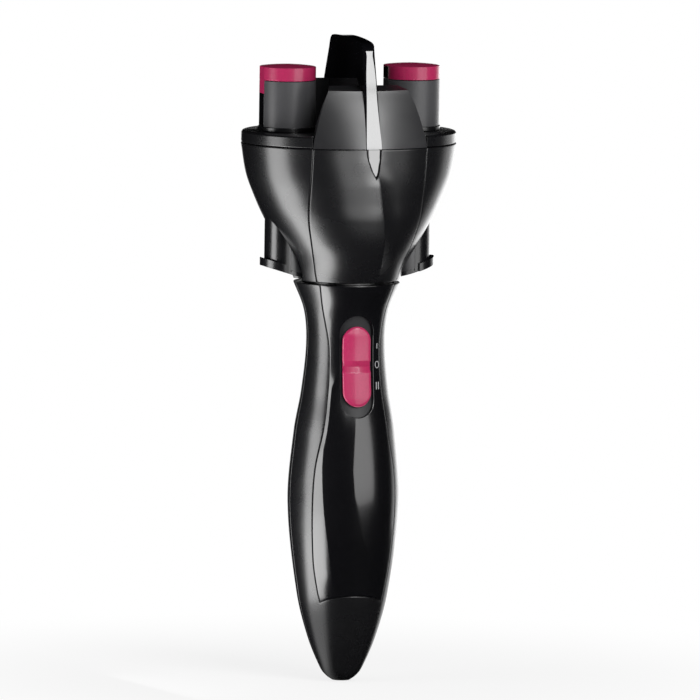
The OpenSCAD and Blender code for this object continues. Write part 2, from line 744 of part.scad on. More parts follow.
// Cuts one side of the front edge back, so that its flat narrows towards the top
module fin_bevel(side) {
    shoulder = fin_front[2];
    hull() for (end = [[fin_foot_t / 2, -fin_foot_y, cover_foot_h],
            [fin_edge_w / 2, shoulder[0], over_deck(shoulder[1])],
            [fin_edge_w / 2, shoulder[0] + 1, fin_top_h + 1]])
        translate([side * end[0], end[1], end[2]]) linear_extrude(height = 0.02)
            polygon([[0, 0], [side * 2 * fin_foot_t, 2 * fin_foot_t],
                [side * 2 * fin_foot_t, -2 * fin_foot_t]]);
}
module divider_fin() {
    color([0.02, 0.02, 0.02]) difference() {
        union() {
            intersection() {
                rotate([90, 0, 90]) translate([0, 0, -fin_foot_t])
                    linear_extrude(height = 2 * fin_foot_t) polygon(fin_outline);
                fin_wedge(0);
            }
            intersection() {
                inlay_band(0.15, head_inlay_t, cup_steps - 3);
                union() {
                    to_front() spear_outline(0);
                    to_back() spear_outline(0);
                }
            }
            // Ties each spear to the fin's foot
            for (s = [-1, 1]) translate([-2, s > 0 ? rim_b - 1.2 : -rim_b, cup_top_h - 1])
                cube([4, 1.2, cover_gap + 2]);
        }
        for (s = [-1, 1]) fin_bevel(s);
    }
}

// Shroud on both sides of the fin; its foot fills the cover's notch. Its sections are
// [share of the height, half width, depth at the sides, depth in the middle].
shroud_sections = [
    [0, shroud_x, rim_b * sqrt(1 - pow(shroud_x / rim_a, 2)), rim_b], [0.14, 22.5, 28.4, 33.1],
    [0.34, 21.3, 27.9, 31.9], [0.54, 20.1, 27.2, 30.6], [0.78, 18.3, 26.2, 28.7],
    [1, 16.1, 25, 26.6]
];
// Depth of section c at x, as an even curve from the middle to the sides
function shroud_front(c, x) = c[3] - (c[3] - c[2]) * pow(x / c[1], 2);
// Height of section c at depth y; the top slopes up towards the back
function shroud_z(c, y) = cover_foot_h + c[0] * (shroud_top_h - cover_foot_h)
    + (c[0] == 1 ? shroud_rise * (c[3] - y) / (c[3] - shroud_y) : 0);
module shroud() {
    cols = 12;
    rows = len(shroud_sections);
    row_len = cols + 3;
    difference() {
        polyhedron(
            points = [for (c = shroud_sections) each concat(
                [for (x = span(-c[1], c[1], cols)) let (y = shroud_front(c, x))
                    [x, -y, shroud_z(c, y)]],
                [for (x = [c[1], -c[1]]) [x, -shroud_y, shroud_z(c, shroud_y)]])],
            faces = concat(
                [for (j = [0:rows - 2], i = [0:row_len - 1], half = [0, 1])
                    let (k = (i + 1) % row_len, p = j * row_len, q = p + row_len)
                    half == 0 ? [p + i, q + i, q + k] : [p + i, q + k, p + k]],
                [[for (i = [0:row_len - 1]) i],
                    [for (i = [row_len - 1:-1:0]) (rows - 1) * row_len + i]]));
        translate([-shroud_x - 1, -notch_y, cover_foot_h - 1])
            cube([2 * shroud_x + 2, notch_y, cover_band + 1]);
        intersection() {
            fin_wedge(0.05);
            union() {
                translate([-fin_foot_t, -2 * rim_b, deck_h])
                    cube([2 * fin_foot_t, 2 * rim_b, fin_top_h]);
                translate([-fin_foot_t, -2 * rim_b, cover_foot_h - 1])
                    cube([2 * fin_foot_t, 2 * rim_b - fin_inner_y, fin_top_h]);
            }
        }
    }
}
module front_shroud() color([0.16, 0.16, 0.17]) shroud();
module rear_shroud() color([0.16, 0.16, 0.17]) mirror([0, 1, 0]) shroud();

module carrier_plate() {
    color([0.75, 0.75, 0.72]) difference() {
        union() {
            disc(plate_r, plate_h, plate_top_h);
            for (s = [-1, 1]) translate([s * spindle_x, 0, 0]) disc(ear_r, plate_h, plate_top_h);
            translate([-spindle_x, -ear_r, plate_h]) cube([2 * spindle_x, 2 * ear_r, plate_t]);
            disc(drive_clutch_r + 1.8, plate_h - 5, gear_h - 1.5);
        }
        disc(drive_clutch_r, plate_h - 4, gear_h);
        disc(shaft_r + 0.8, plate_h - 6, gear_h);
        for (s = [-1, 1]) translate([s * spindle_x, 0, 0])
            disc(journal_r + run_gap + bush_wall, plate_h - 1, plate_top_h + 1);
        at_plate_screws() disc(1.2, plate_h - 1, plate_top_h + 1);
    }
}
module carrier_screws() {
    color("silver") at_plate_screws() {
        disc(2.1, plate_h - 1.5, plate_h);
        disc(1, plate_h - eps, plate_top_h + plate_screw_len);
    }
}
module spindle_bushes() {
    bush_r = journal_r + run_gap + bush_wall;
    color([0.8, 0.65, 0.35]) for (s = [-1, 1]) translate([s * spindle_x, 0, 0]) {
        ring(bush_r, journal_r + run_gap, boss_h, deck_h);
        ring(bush_r, journal_r + run_gap, plate_h, plate_top_h);
    }
}
// Sealed one-way bearing: locks the sun gear to the head in one direction
module drive_clutch()
    color("silver") ring(drive_clutch_r, shaft_r + run_gap, plate_h - 4, gear_h - 1.5);
module head_retainer()
    color("silver") ring(ring_r, hub_r - 1, ring_h + 0.05, ring_h + ring_t - 0.05);

module drive_shaft() color("silver") disc(shaft_r, gearbox_top_h - 6, gear_h + gear_w + 1);
module sun_gear() color([0.85, 0.82, 0.7]) gear(sun_teeth, shaft_r, 0);

// ---- spindles: written for the left one, at -X, with its outer side towards -X --------

module tower_section(r, flat, z0, z1) {
    intersection() {
        disc(r, z0, z1);
        translate([-flat, -r, z0]) cube([2 * flat, 2 * r, z1 - z0]);
    }
}
leg_w = 2 * sqrt(tower_r * tower_r - tower_flat * tower_flat) - 0.4;
leg_t = 2;
leg_gap = 0.15;
arm_h = tower_h + 0.6;
arm_t = 4;

module spindle_body(side) mirrored(side) at_spindle() {
    slot_w = leg_w + 2 * leg_gap;
    color([0.3, 0.3, 0.31]) difference() {
        tower_section(tower_r, tower_flat, tower_h, tower_top_h);
        translate([-tower_flat - 1, -slot_w / 2, tower_h - 1])
            cube([leg_t + 1 + leg_gap, slot_w, tower_len + 2]);
        translate([-tower_flat - 1, -slot_w / 2, tower_h - 1])
            cube([tower_flat + 5, slot_w, 1 + 0.6 + arm_t + hook_lift + 0.8]);
    }
}
module spindle_base(side) mirrored(side) at_spindle() {
    color([0.03, 0.03, 0.03]) difference() {
        union() {
            disc(tower_r + 0.5, base_h, tower_h);
            disc(journal_r, journal_foot_h, tower_h);
        }
        disc(rod_r + run_gap, journal_foot_h - 1, tower_h + 1);
        ring(journal_r + 1, journal_r - 0.8, journal_foot_h + 1, journal_foot_h + 2.2);
    }
}
module spindle_gear(side) mirrored(side) at_spindle()
    color([0.85, 0.82, 0.7]) gear(planet_teeth, journal_r, 0.5);
module spindle_clip(side) mirrored(side) at_spindle()
    color("silver") ring(journal_r + 1.1, journal_r - 0.8, journal_foot_h + 1.05,
        journal_foot_h + 2.15);

module hook_leg(side) mirrored(side) at_spindle() {
    core_h = cap_len - 1.2;
    color([0.03, 0.03, 0.03]) difference() {
        union() {
            translate([-tower_flat, -leg_w / 2, arm_h]) cube([leg_t, leg_w, cap_h - skirt_len - arm_h]);
            translate([1 - tower_flat, -leg_w / 2, arm_h]) cube([leg_t - 1, leg_w, cap_h - arm_h + 1]);
            translate([1 - tower_flat, -leg_w / 2, cap_h])
                cube([2 * tower_flat - 1, leg_w, core_h]);
            translate([-tower_flat + eps, -leg_w / 2, arm_h])
                cube([tower_flat + rod_r + 1.3, leg_w, arm_t]);
        }
        disc(rod_r, arm_h - 1, arm_h + arm_t + 1);
    }
}
module hook_cap(side) mirrored(side) at_spindle() {
    core_h = cap_len - 1.2;
    color([0.75, 0.18, 0.37]) difference() {
        union() {
            intersection() {
                tower_section(tower_r, tower_flat, cap_h, cap_top_h);
                translate([0, 0, cap_top_h - 80]) sphere(r = 80, $fn = 200);
            }
            translate([-tower_flat, -leg_w / 2, cap_h - skirt_len])
                cube([1, leg_w, skirt_len + 1]);
        }
        translate([1 - tower_flat, -leg_w / 2, cap_h - skirt_len - 1])
            cube([2 * tower_flat, leg_w, skirt_len + 1 + core_h]);
    }
}
module hook_rod(side) mirrored(side) at_spindle() {
    color("silver") {
        disc(rod_r, lever_top_h - lid_t - foot_t - 0.2, arm_h + arm_t);
        disc(foot_r, lever_top_h - lid_t - foot_t - 0.2, lever_top_h - lid_t - 0.2);
    }
}

// The lever's foot slopes down towards the neck, and its lip is cut where the cup would touch
module foot_slope(off) translate([-sleeve_r, 0, lever_foot_h + 2.8 + off])
    rotate([0, lever_slope, 0]) children();
module below_slope(off) foot_slope(off) translate([-30, -30, -60]) cube([90, 60, 60]);
// Outer, black part: sole, lip and outer half of the sleeve
module push_lever(side) mirrored(side) at_spindle() {
    low = lever_foot_h - 6;
    color([0.02, 0.02, 0.02]) difference() {
        union() {
            disc(sleeve_r, low, lever_rim_h);
            intersection() {
                translate([-lip_out / 2, 0, 0]) disc(sleeve_r + lip_out / 2, low, plate_h);
                translate([-2 * sleeve_r, -2 * sleeve_r, low])
                    cube([2 * sleeve_r - 1.8, 4 * sleeve_r, plate_h - low]);
                below_slope(lip_t / cos(lever_slope));
            }
        }
        below_slope(0);
        difference() {
            union() {
                disc(sleeve_r - lever_wall, low - 1, plate_h + 1);
                translate([0, -2 * sleeve_r, low - 2])
                    cube([2 * sleeve_r, 4 * sleeve_r, plate_h - low]);
            }
            below_slope(lever_sole / cos(lever_slope));
        }
    }
}
module lever_core(side) mirrored(side) at_spindle() {
    low = lever_foot_h - 6;
    pocket_h = lever_top_h - lid_t - foot_t - 0.4;
    color([0.3, 0.3, 0.31]) difference() {
        union() {
            disc(sleeve_r - lever_wall, low, lever_top_h);
            intersection() {
                ring(sleeve_r, sleeve_r - lever_wall - eps, low, lever_rim_h);
                translate([0, -2 * sleeve_r, 0]) cube([2 * sleeve_r, 4 * sleeve_r, plate_h]);
            }
        }
        below_slope(lever_sole / cos(lever_slope));
        disc(foot_r + 0.2, pocket_h, lever_top_h - lid_t);
        disc(rod_r + 0.2, pocket_h, lever_top_h + 1);
    }
}
module return_spring(side) mirrored(side) at_spindle()
    color("silver") coil(sleeve_r - lever_wall - 0.15 - spring_wire / 2, spring_wire,
        lever_top_h, plate_h, 4);

module left_spindle_body() spindle_body(-1);
module left_spindle_base() spindle_base(-1);
module left_spindle_gear() spindle_gear(-1);
module left_spindle_clip() spindle_clip(-1);
module left_hook_leg() hook_leg(-1);
module left_hook_cap() hook_cap(-1);
module left_hook_rod() hook_rod(-1);
module left_push_lever() push_lever(-1);
module left_lever_core() lever_core(-1);
module left_return_spring() return_spring(-1);
module right_spindle_body() spindle_body(1);
module right_spindle_base() spindle_base(1);
module right_spindle_gear() spindle_gear(1);
module right_spindle_clip() spindle_clip(1);
module right_hook_leg() hook_leg(1);
module right_hook_cap() hook_cap(1);
module right_hook_rod() hook_rod(1);
module right_push_lever() push_lever(1);
module right_lever_core() lever_core(1);
module right_return_spring() return_spring(1);

handle_front_shell();
handle_rear_shell();
front_panel();
switch_bezel();
circuit_board();
slide_switch();
motor();
gearbox_housing();
chassis();
battery_cells();
battery_link();
battery_terminals();
neck_plate();
neck_clutch();
case_screws();
battery_door();
switch_button();
switch_stem();
head_cup();
cup_front_panel();
cup_rear_panel();
head_cover();
divider_fin();
front_shroud();
rear_shroud();
carrier_plate();
carrier_screws();
spindle_bushes();
drive_clutch();
head_retainer();
drive_shaft();
sun_gear();
left_spindle_body();
left_spindle_base();
left_spindle_gear();
left_spindle_clip();
left_hook_leg();
left_hook_cap();
left_hook_rod();
left_push_lever();
left_lever_core();
left_return_spring();
right_spindle_body();
right_spindle_base();
right_spindle_gear();
right_spindle_clip();
right_hook_leg();
right_hook_cap();
right_hook_rod();
right_push_lever();
right_lever_core();
right_return_spring();
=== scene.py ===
"""Looks of a battery hair braider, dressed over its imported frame.

Lengths of the device are in millimetres and turned into metres by MM where a mesh is made; those
of the studio are in metres. The grip and the head follow the same ring tables as the CAD, read
between rings by the same smooth curve.
"""

import json
from math import asin, copysign, cos, hypot, pi, radians, sin, sqrt

import bmesh
import bpy
from mathutils import Matrix, Vector


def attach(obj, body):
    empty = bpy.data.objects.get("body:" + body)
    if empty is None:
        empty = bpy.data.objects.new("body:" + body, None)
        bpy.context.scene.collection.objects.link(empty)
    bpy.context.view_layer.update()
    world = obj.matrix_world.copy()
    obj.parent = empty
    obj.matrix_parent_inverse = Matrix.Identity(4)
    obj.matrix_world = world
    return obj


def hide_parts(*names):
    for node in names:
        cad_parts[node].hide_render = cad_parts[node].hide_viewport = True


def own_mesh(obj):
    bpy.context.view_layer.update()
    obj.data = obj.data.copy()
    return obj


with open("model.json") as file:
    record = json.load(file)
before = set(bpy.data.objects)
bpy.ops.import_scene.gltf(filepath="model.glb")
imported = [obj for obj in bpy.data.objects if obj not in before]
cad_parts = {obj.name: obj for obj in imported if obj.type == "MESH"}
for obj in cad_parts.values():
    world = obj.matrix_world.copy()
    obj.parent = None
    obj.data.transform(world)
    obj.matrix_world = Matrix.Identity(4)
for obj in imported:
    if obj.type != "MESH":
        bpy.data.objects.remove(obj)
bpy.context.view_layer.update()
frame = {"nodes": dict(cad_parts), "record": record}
MM = 0.001

# ---- sizes shared with the CAD --------------------------------------------------------

GRIP_TOP = 155.0
GRIP = [  # [height, radius]
    (0, 3.4), (1.548, 5.65), (4.3, 7.9), (16.6, 13.1), (34, 17.6), (69, 21.6), (97, 19.6),
    (112.5, 17.0), (131, 15.3), (144, 16.4), (GRIP_TOP, 20.7)]
CUP_FOOT, CUP_TOP = 155.9, 209.0
RIM_A, RIM_B, FOOT_A = 42.35, 34.0, 20.5
CUP_SHARES = [  # [share of the height, half width, half depth]
    (0, FOOT_A, FOOT_A), (0.115, FOOT_A + 2.1, FOOT_A + 3), (0.285, FOOT_A + 7.2, FOOT_A + 7.8),
    (0.46, FOOT_A + 12.5, RIM_B - 3.5), (0.605, RIM_A - 5.65, RIM_B - 2.6),
    (0.775, RIM_A - 2.15, RIM_B - 1.4), (1, RIM_A, RIM_B)]
CUP = [(CUP_FOOT + s * (CUP_TOP - CUP_FOOT), a, b) for s, a, b in CUP_SHARES]
INLAY_FOOT, INLAY_ARCH, ARCH_HALF = 30.6, 3.6, 14
INLAY = [  # [height, half width]
    (INLAY_FOOT, 12.2), (36, 13.6), (48, 15.6), (68, 16.7), (83.5, 15.9), (99, 12.9),
    (110, 11.3), (121.5, 10.3), (134, 10.6), (156, 15.3)]
HEAD_INLAY = [
    (CUP_FOOT - 1, 15.7), (CUP_FOOT + 6, 17.6), (CUP_FOOT + 15, 20.2), (CUP_FOOT + 24, 22.3),
    (CUP_FOOT + 32, 22.9), (CUP_TOP + 1, 23.0)]
GRIP_INLAY_THICK, CUP_INLAY_THICK = 1.4, 1.3
GRIP_WALL, CUP_WALL = 2.2, 2.4
SWITCH_H, RECESS_LEN, RECESS_W = 123.3, 39.6, 13.4
SLIDER_LEN, SLIDER_W, SLIDER_TRAVEL = 31.0, 11.4, 4
DOOR_W, DOOR_FOOT, DOOR_TOP, DOOR_CORNER, DOOR_GAP = 24, 34, 92, 3, 0.3
SPINDLE_X, SLEEVE_R, LEVER_TRAVEL = 25.0, 8.1, 6
SPRING_FOOT, PLATE = 180.0, 191.5
BAND_FOOT, DECK, FIN_TOP = 209.2, 213.8, 250.4
SHROUD_TOP, SHROUD_BACK, SHROUD_RISE = 231.0, 18.0, 1.6

SEAM = 0.12          # gap round an inlay
SEAM_ROUND = 0.35    # rounding of an edge at a seam
EDGE_STEPS = [0.0, 0.03, 0.09, 0.18, SEAM_ROUND]
FAR = 9              # distance from an edge where a skin lies flat


# ---- places on the surfaces -----------------------------------------------------------

def at(rings, z, column=1):
    """Smooth value of a ring table at height z."""
    i = next((k for k in range(len(rings) - 2) if z < rings[k + 1][0]), len(rings) - 2)

    def slope(k):
        low, high = max(k - 1, 0), min(k + 1, len(rings) - 1)
        return (rings[high][column] - rings[low][column]) / (rings[high][0] - rings[low][0])

    h = rings[i + 1][0] - rings[i][0]
    t = min(max((z - rings[i][0]) / h, 0), 1)
    return ((1 + 2 * t) * (1 - t) ** 2 * rings[i][column] + t * (1 - t) ** 2 * h * slope(i)
            + t * t * (3 - 2 * t) * rings[i + 1][column] - t * t * (1 - t) * h * slope(i + 1))


def along(table, z):
    """Value at height z of a table of [height, value], straight between its entries."""
    if z <= table[0][0]:
        return table[0][1]
    for (z0, v0), (z1, v1) in zip(table, table[1:]):
        if z <= z1:
            return v0 + (v1 - v0) * ((z - z0) / (z1 - z0))
    return table[-1][1]


def ease(low, high, value):
    """Smooth step from 0 at low to 1 at high, which may lie below low."""
    t = min(max((value - low) / (high - low), 0), 1)
    return t * t * (3 - 2 * t)


def spread(low, high, count):
    return [low + (high - low) * i / count for i in range(count + 1)]


def curve(points, steps):
    """Smooth curve through the points."""
    out = []
    for i in range(len(points) - 1):
        p = [points[min(max(i + k, 0), len(points) - 1)] for k in (-1, 0, 1, 2)]
        for t in (k / steps for k in range(steps)):
            out.append(tuple(0.5 * (2 * b + (c - a) * t + (2 * a - 5 * b + 4 * c - d) * t * t
                                    + (3 * b - a - 3 * c + d) * t ** 3)
                             for a, b, c, d in zip(*p)))
    return out + [points[-1]]


def grip_point(phi, z, depth=0.0):
    """Point of the grip's surface; phi is counted from the front towards +X."""
    r = at(GRIP, z) - depth
    return Vector((r * sin(phi), -r * cos(phi), z)) * MM


def front_point(x, z, depth=0.0):
    """Point of the grip's front that lies at x."""
    return grip_point(asin(x / at(GRIP, z)), z, depth)


def cup_point(phi, z, depth=0.0):
    a, b = at(CUP, z, 1) - depth, at(CUP, z, 2) - depth
    return Vector((a * sin(phi), -b * cos(phi), z)) * MM


def grip_edge(z):
    """Angle of the grip inlay's edge at height z."""
    return asin(at(INLAY, z) / at(GRIP, z))


def cup_edge(z):
    """Angle of the cup inlay's edge at height z."""
    return asin(at(HEAD_INLAY, z) / at(CUP, z, 1))


def rounding(*distances):
    """How far a skin drops at these distances from its edges."""
    q = hypot(*[max(0.0, SEAM_ROUND - d) for d in distances])
    q = min(q, SEAM_ROUND)
    return SEAM_ROUND - sqrt(SEAM_ROUND ** 2 - q * q)


def to_edge(share):
    """Places [share, distance] that lead up to an edge."""
    return [(share, -d) for d in reversed(EDGE_STEPS)]


def edge_to_edge(count):
    """Places [share, distance] from 0 to 1, close together near both edges."""
    first = [(0, d) for d in EDGE_STEPS]
    return first + [(share, 0) for share in spread(0, 1, count)[1:-1]] + to_edge(1)


def side_name(side):
    return "left" if side < 0 else "right"


# ---- mesh helpers ---------------------------------------------------------------------

def outward_mesh(name, points, faces, weld=False):
    """Mesh of points in metres, its faces turned outwards; weld joins points that meet."""
    mesh = bpy.data.meshes.new(name)
    mesh.from_pydata(points, [], faces)
    work = bmesh.new()
    work.from_mesh(mesh)
    if weld:
        loose = [v for v in work.verts if not v.link_faces]
        bmesh.ops.delete(work, geom=loose, context="VERTS")
        bmesh.ops.remove_doubles(work, verts=work.verts, dist=1e-7)
    bmesh.ops.recalc_face_normals(work, faces=work.faces)
    work.to_mesh(mesh)
    work.free()
    return mesh


def add_object(name, data, material=None):
    obj = bpy.data.objects.new(name, data)
    bpy.context.scene.collection.objects.link(obj)
    if material:
        obj.data.materials.append(material)
    return obj


def solid(name, points, faces):
    """Mesh object of points in millimetres."""
    return add_object(name, outward_mesh(name, [Vector(p) * MM for p in points], faces))


def place(obj, body, slot, *nodes):
    """Lets obj ride on a body in the place of the CAD nodes that are named; slot is not used."""
    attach(obj, body)
    if nodes:
        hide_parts(*nodes)


def smooth(obj, angle=32, weighted=True):
    """Shades obj smooth across edges of less than the angle."""
    obj.data.shade_smooth()
    obj.data.set_sharp_from_angle(angle=radians(angle))
    if weighted:
        obj.modifiers.new("face weights", "WEIGHTED_NORMAL").keep_sharp = True


def dress_edges(obj, width, angle=40):
    """Rounds the sharp edges of a cut mesh and shades the rest smooth."""
    edge = obj.modifiers.new("edges", "BEVEL")
    edge.width = width * MM
    edge.segments = 3
    edge.limit_method = "ANGLE"
    edge.angle_limit = radians(angle)
    smooth(obj)


def grid_mesh(name, outer, inner, keep=None, wrap=False):
    """Closed skin between two grids of points, [row][column]; keep leaves holes open."""
    rows, cols = len(outer), len(outer[0])
    points = [p for row in outer for p in row] + [p for row in inner for p in row]
    back = rows * cols
    faces, rim = [], set()
    for j in range(rows - 1):
        for i in range(cols if wrap else cols - 1):
            if keep and not keep(j, i):
                continue
            k = (i + 1) % cols
            quad = [j * cols + i, j * cols + k, (j + 1) * cols + k, (j + 1) * cols + i]
            faces.append(quad)
            faces.append([v + back for v in reversed(quad)])
            rim.update(zip(quad, quad[1:] + quad[:1]))
    faces += [[b, a, a + back, b + back] for a, b in sorted(rim) if (b, a) not in rim]
    return outward_mesh(name, points, faces, weld=True)


def boolean(obj, cutter, operation="DIFFERENCE"):
    """Cuts obj with another mesh object, which is then removed."""
    change = obj.modifiers.new("cut", "BOOLEAN")
    change.object = cutter
    change.operation = operation
    change.solver = "EXACT"
    view = bpy.context.evaluated_depsgraph_get()
    mesh = bpy.data.meshes.new_from_object(obj.evaluated_get(view))
    obj.modifiers.remove(change)
    obj.data = mesh
    bpy.data.objects.remove(cutter)


def merge(obj, other):
    """Takes another mesh object into obj as a part of its own."""
    work = bmesh.new()
    work.from_mesh(obj.data)
    work.from_mesh(other.data)
    work.to_mesh(obj.data)
    work.free()
    bpy.data.objects.remove(other)


def prism_faces(count):
    """Faces between two like outlines of count points, the second after the first."""
    ends = [list(range(count)), list(range(2 * count - 1, count - 1, -1))]
    return ends + [[i, (i + 1) % count, (i + 1) % count + count, i + count]
                   for i in range(count)]


def prism(outline, low, high, axis="Z"):
    """Prism of a 2-D outline; along Z it is [x, y], along Y it is [x, z]."""
    points = [(u, v, h) if axis == "Z" else (u, h, v) for h in (low, high) for u, v in outline]
    return solid("prism", points, prism_faces(len(outline)))


def ring_faces(rows, count):
    """Faces of a grid of rows of count points that closes on itself both ways."""
    faces = []
    for j in range(rows):
        for i in range(count):
            k, n = (i + 1) % count, (j + 1) % rows
            faces.append([j * count + i, j * count + k, n * count + k, n * count + i])
    return faces


def turned(name, profile, count=128):
    """Closed ring turned from a profile of [radius, height]."""
    angles = [2 * pi * i / count for i in range(count)]
    points = [(r * cos(a), r * sin(a), z) for r, z in profile for a in angles]
    return solid(name, points, ring_faces(len(profile), count))


def circle(r, x=0.0, y=0.0, count=96):
    return [(x + r * cos(2 * pi * i / count), y + r * sin(2 * pi * i / count))
            for i in range(count)]


def box(half, low, high, x=0.0):
    """Outline [x, z] of an upright box."""
    return [(x - half, low), (x + half, low), (x + half, high), (x - half, high)]


def pill(length, width, height, arc=24, straight=60):
    """Outline [x, z] of an upright pill, counter-clockwise from its right side's foot."""
    r, half = width / 2, (length - width) / 2
    sides = spread(-half, half, straight)
    right = [(r, height + s) for s in sides[:-1]]
    top = [(r * cos(pi * i / arc), height + half + r * sin(pi * i / arc)) for i in range(arc)]
    left = [(-r, height - s) for s in sides[:-1]]
    foot = [(-r * cos(pi * i / arc), height - half - r * sin(pi * i / arc))
            for i in range(arc)]
    return right + top + left + foot


def rounded_rect(w, low, high, r, arc=10):
    corners = ((w / 2 - r, low + r, -90), (w / 2 - r, high - r, 0), (r - w / 2, high - r, 90),
               (r - w / 2, low + r, 180))
    return [(x + r * cos(radians(a + 90 * i / arc)), z + r * sin(radians(a + 90 * i / arc)))
            for x, z, a in corners for i in range(arc + 1)]


# ---- shader helpers -------------------------------------------------------------------

def empty_tree(owner):
    """Cleared node tree of a material or world."""
    owner.use_nodes = True
    owner.node_tree.nodes.clear()
    return owner.node_tree


def shader_node(tree, kind, operation=None):
    node = tree.nodes.new("ShaderNode" + kind)
    if operation:
        node.operation = operation
    return node


def node_value(tree, operation, *values, clamp=False):
    """Math node on numbers or sockets; returns its socket."""
    node = shader_node(tree, "Math", operation)
    node.use_clamp = clamp
    for socket, value in zip(node.inputs, values):
        if isinstance(value, (int, float)):
            socket.default_value = value
        else:
            tree.links.new(value, socket)
    return node.outputs[0]


def ramp(tree, value, low, high):
    """Smooth step from 0 at low to 1 at high."""
    node = shader_node(tree, "MapRange")
    node.interpolation_type = "SMOOTHSTEP"
    node.inputs["From Min"].default_value = low
    node.inputs["From Max"].default_value = high
    tree.links.new(value, node.inputs["Value"])
    return node.outputs["Result"]


def dot(tree, value, direction):
    """Length of a vector socket's value along a direction."""
    node = shader_node(tree, "VectorMath", "DOT_PRODUCT")
    node.inputs[1].default_value = direction
    tree.links.new(value, node.inputs[0])
    return node.outputs["Value"]


def mirror_rays(tree, path):
    """1 for rays that were mirrored or have passed through a surface, else 0."""
    return node_value(tree, "ADD", path.outputs["Is Glossy Ray"],
                      path.outputs["Is Transmission Ray"], clamp=True)


# ---- materials ------------------------------------------------------------------------

TONE_SPREAD = 0.15    # how far the grain darkens and lightens the colour
DRIFT_SCALE = 90      # patches per metre in the roughness
COAT_ROUGHNESS = 0.03


def moulded(name, colour, roughness, grain, depth, vary=0.25, coat=0.0, shine=0.5):
    """Moulded plastic: a fine grain in the bump and a slow drift in its roughness."""
    mat = bpy.data.materials.new(name)
    tree = empty_tree(mat)
    link = tree.links.new
    out, shader = shader_node(tree, "OutputMaterial"), shader_node(tree, "BsdfPrincipled")
    link(shader.outputs["BSDF"], out.inputs["Surface"])
    coords = shader_node(tree, "TexCoord")
    fine, slow = shader_node(tree, "TexNoise"), shader_node(tree, "TexNoise")
    for noise, scale, detail in ((fine, 1 / (grain * MM), 3), (slow, DRIFT_SCALE, 4)):
        noise.inputs["Scale"].default_value = scale
        noise.inputs["Detail"].default_value = detail
        link(coords.outputs["Object"], noise.inputs["Vector"])
    rough = shader_node(tree, "MapRange")
    rough.inputs["To Min"].default_value = roughness * (1 - vary)
    rough.inputs["To Max"].default_value = roughness * (1 + vary)
    link(slow.outputs["Fac"], rough.inputs["Value"])
    link(rough.outputs["Result"], shader.inputs["Roughness"])
    tone = shader_node(tree, "ValToRGB")
    dark, light = tone.color_ramp.elements
    dark.position, light.position = 0.3, 0.7
    dark.color = (*[c * (1 - TONE_SPREAD) for c in colour], 1)
    light.color = (*[min(1, c * (1 + TONE_SPREAD)) for c in colour], 1)
    link(fine.outputs["Fac"], tone.inputs["Fac"])
    link(tone.outputs["Color"], shader.inputs["Base Color"])
    bump = shader_node(tree, "Bump")
    bump.inputs["Strength"].default_value = 1.0
    bump.inputs["Distance"].default_value = depth * MM
    link(fine.outputs["Fac"], bump.inputs["Height"])
    link(bump.outputs["Normal"], shader.inputs["Normal"])
    shader.inputs["Specular IOR Level"].default_value = shine
    shader.inputs["Coat Weight"].default_value = coat
    shader.inputs["Coat Roughness"].default_value = COAT_ROUGHNESS
    return mat


def metal(name, colour, roughness):
    mat = moulded(name, colour, roughness, 0.25, 0.0015)
    mat.node_tree.nodes["Principled BSDF"].inputs["Metallic"].default_value = 1.0
    return mat


GLOSS = moulded("piano black", (0.004, 0.004, 0.005), 0.07, 0.6, 0.0004, 0.2, 1.0, 1.0)
SHEEN = moulded("black sheen", (0.006, 0.006, 0.007), 0.27, 0.3, 0.0006, 0.1, 0.0, 1.0)
INLAY_BLACK = moulded("inlay black", (0.004, 0.004, 0.005), 0.20, 0.5, 0.0004, 0.1, 0.2, 1.0)
LEVER_BLACK = moulded("lever black", (0.005, 0.005, 0.006), 0.24, 0.5, 0.0005, 0.15, 0.0, 1.0)
SATIN = moulded("satin black", (0.008, 0.008, 0.009), 0.27, 0.12, 0.001, 0.15, 0.0, 1.0)
SHIELD = moulded("shield grey", (0.016, 0.016, 0.018), 0.34, 0.14, 0.003, 0.15, 0.0, 1.0)
GREY = moulded("grained grey", (0.07, 0.07, 0.074), 0.38, 0.16, 0.006, 0.15, 0.0, 0.6)
PINK = moulded("raspberry", (0.45, 0.021, 0.10), 0.30, 0.3, 0.0008, 0.2, 0.3)
FLOOR_GREY = moulded("recess grey", (0.022, 0.022, 0.024), 0.45, 0.14, 0.005)
WHITE = moulded("acetal", (0.70, 0.69, 0.64), 0.4, 0.3, 0.002)
MARK = moulded("switch marks", (0.42, 0.42, 0.43), 0.5, 0.2, 0.001)
STEEL = metal("turned steel", (0.56, 0.56, 0.57), 0.3)
BRONZE = metal("bronze", (0.50, 0.33, 0.15), 0.4)
BOARD = moulded("solder mask", (0.02, 0.13, 0.05), 0.35, 0.4, 0.001)
CELL = metal("cell can", (0.30, 0.25, 0.10), 0.35)

# ---- camera ---------------------------------------------------------------------------

PICTURE = 700               # pixels across the picture
PIXEL = 0.387 * MM
AZIMUTH, ELEVATION, ROLL = radians(-17), radians(5.6), radians(0.87)
DISTANCE = 8.0
AIM_HEIGHT, AIM_RIGHT = 128.3 * MM, 1.74 * MM
SENSOR = 36.0


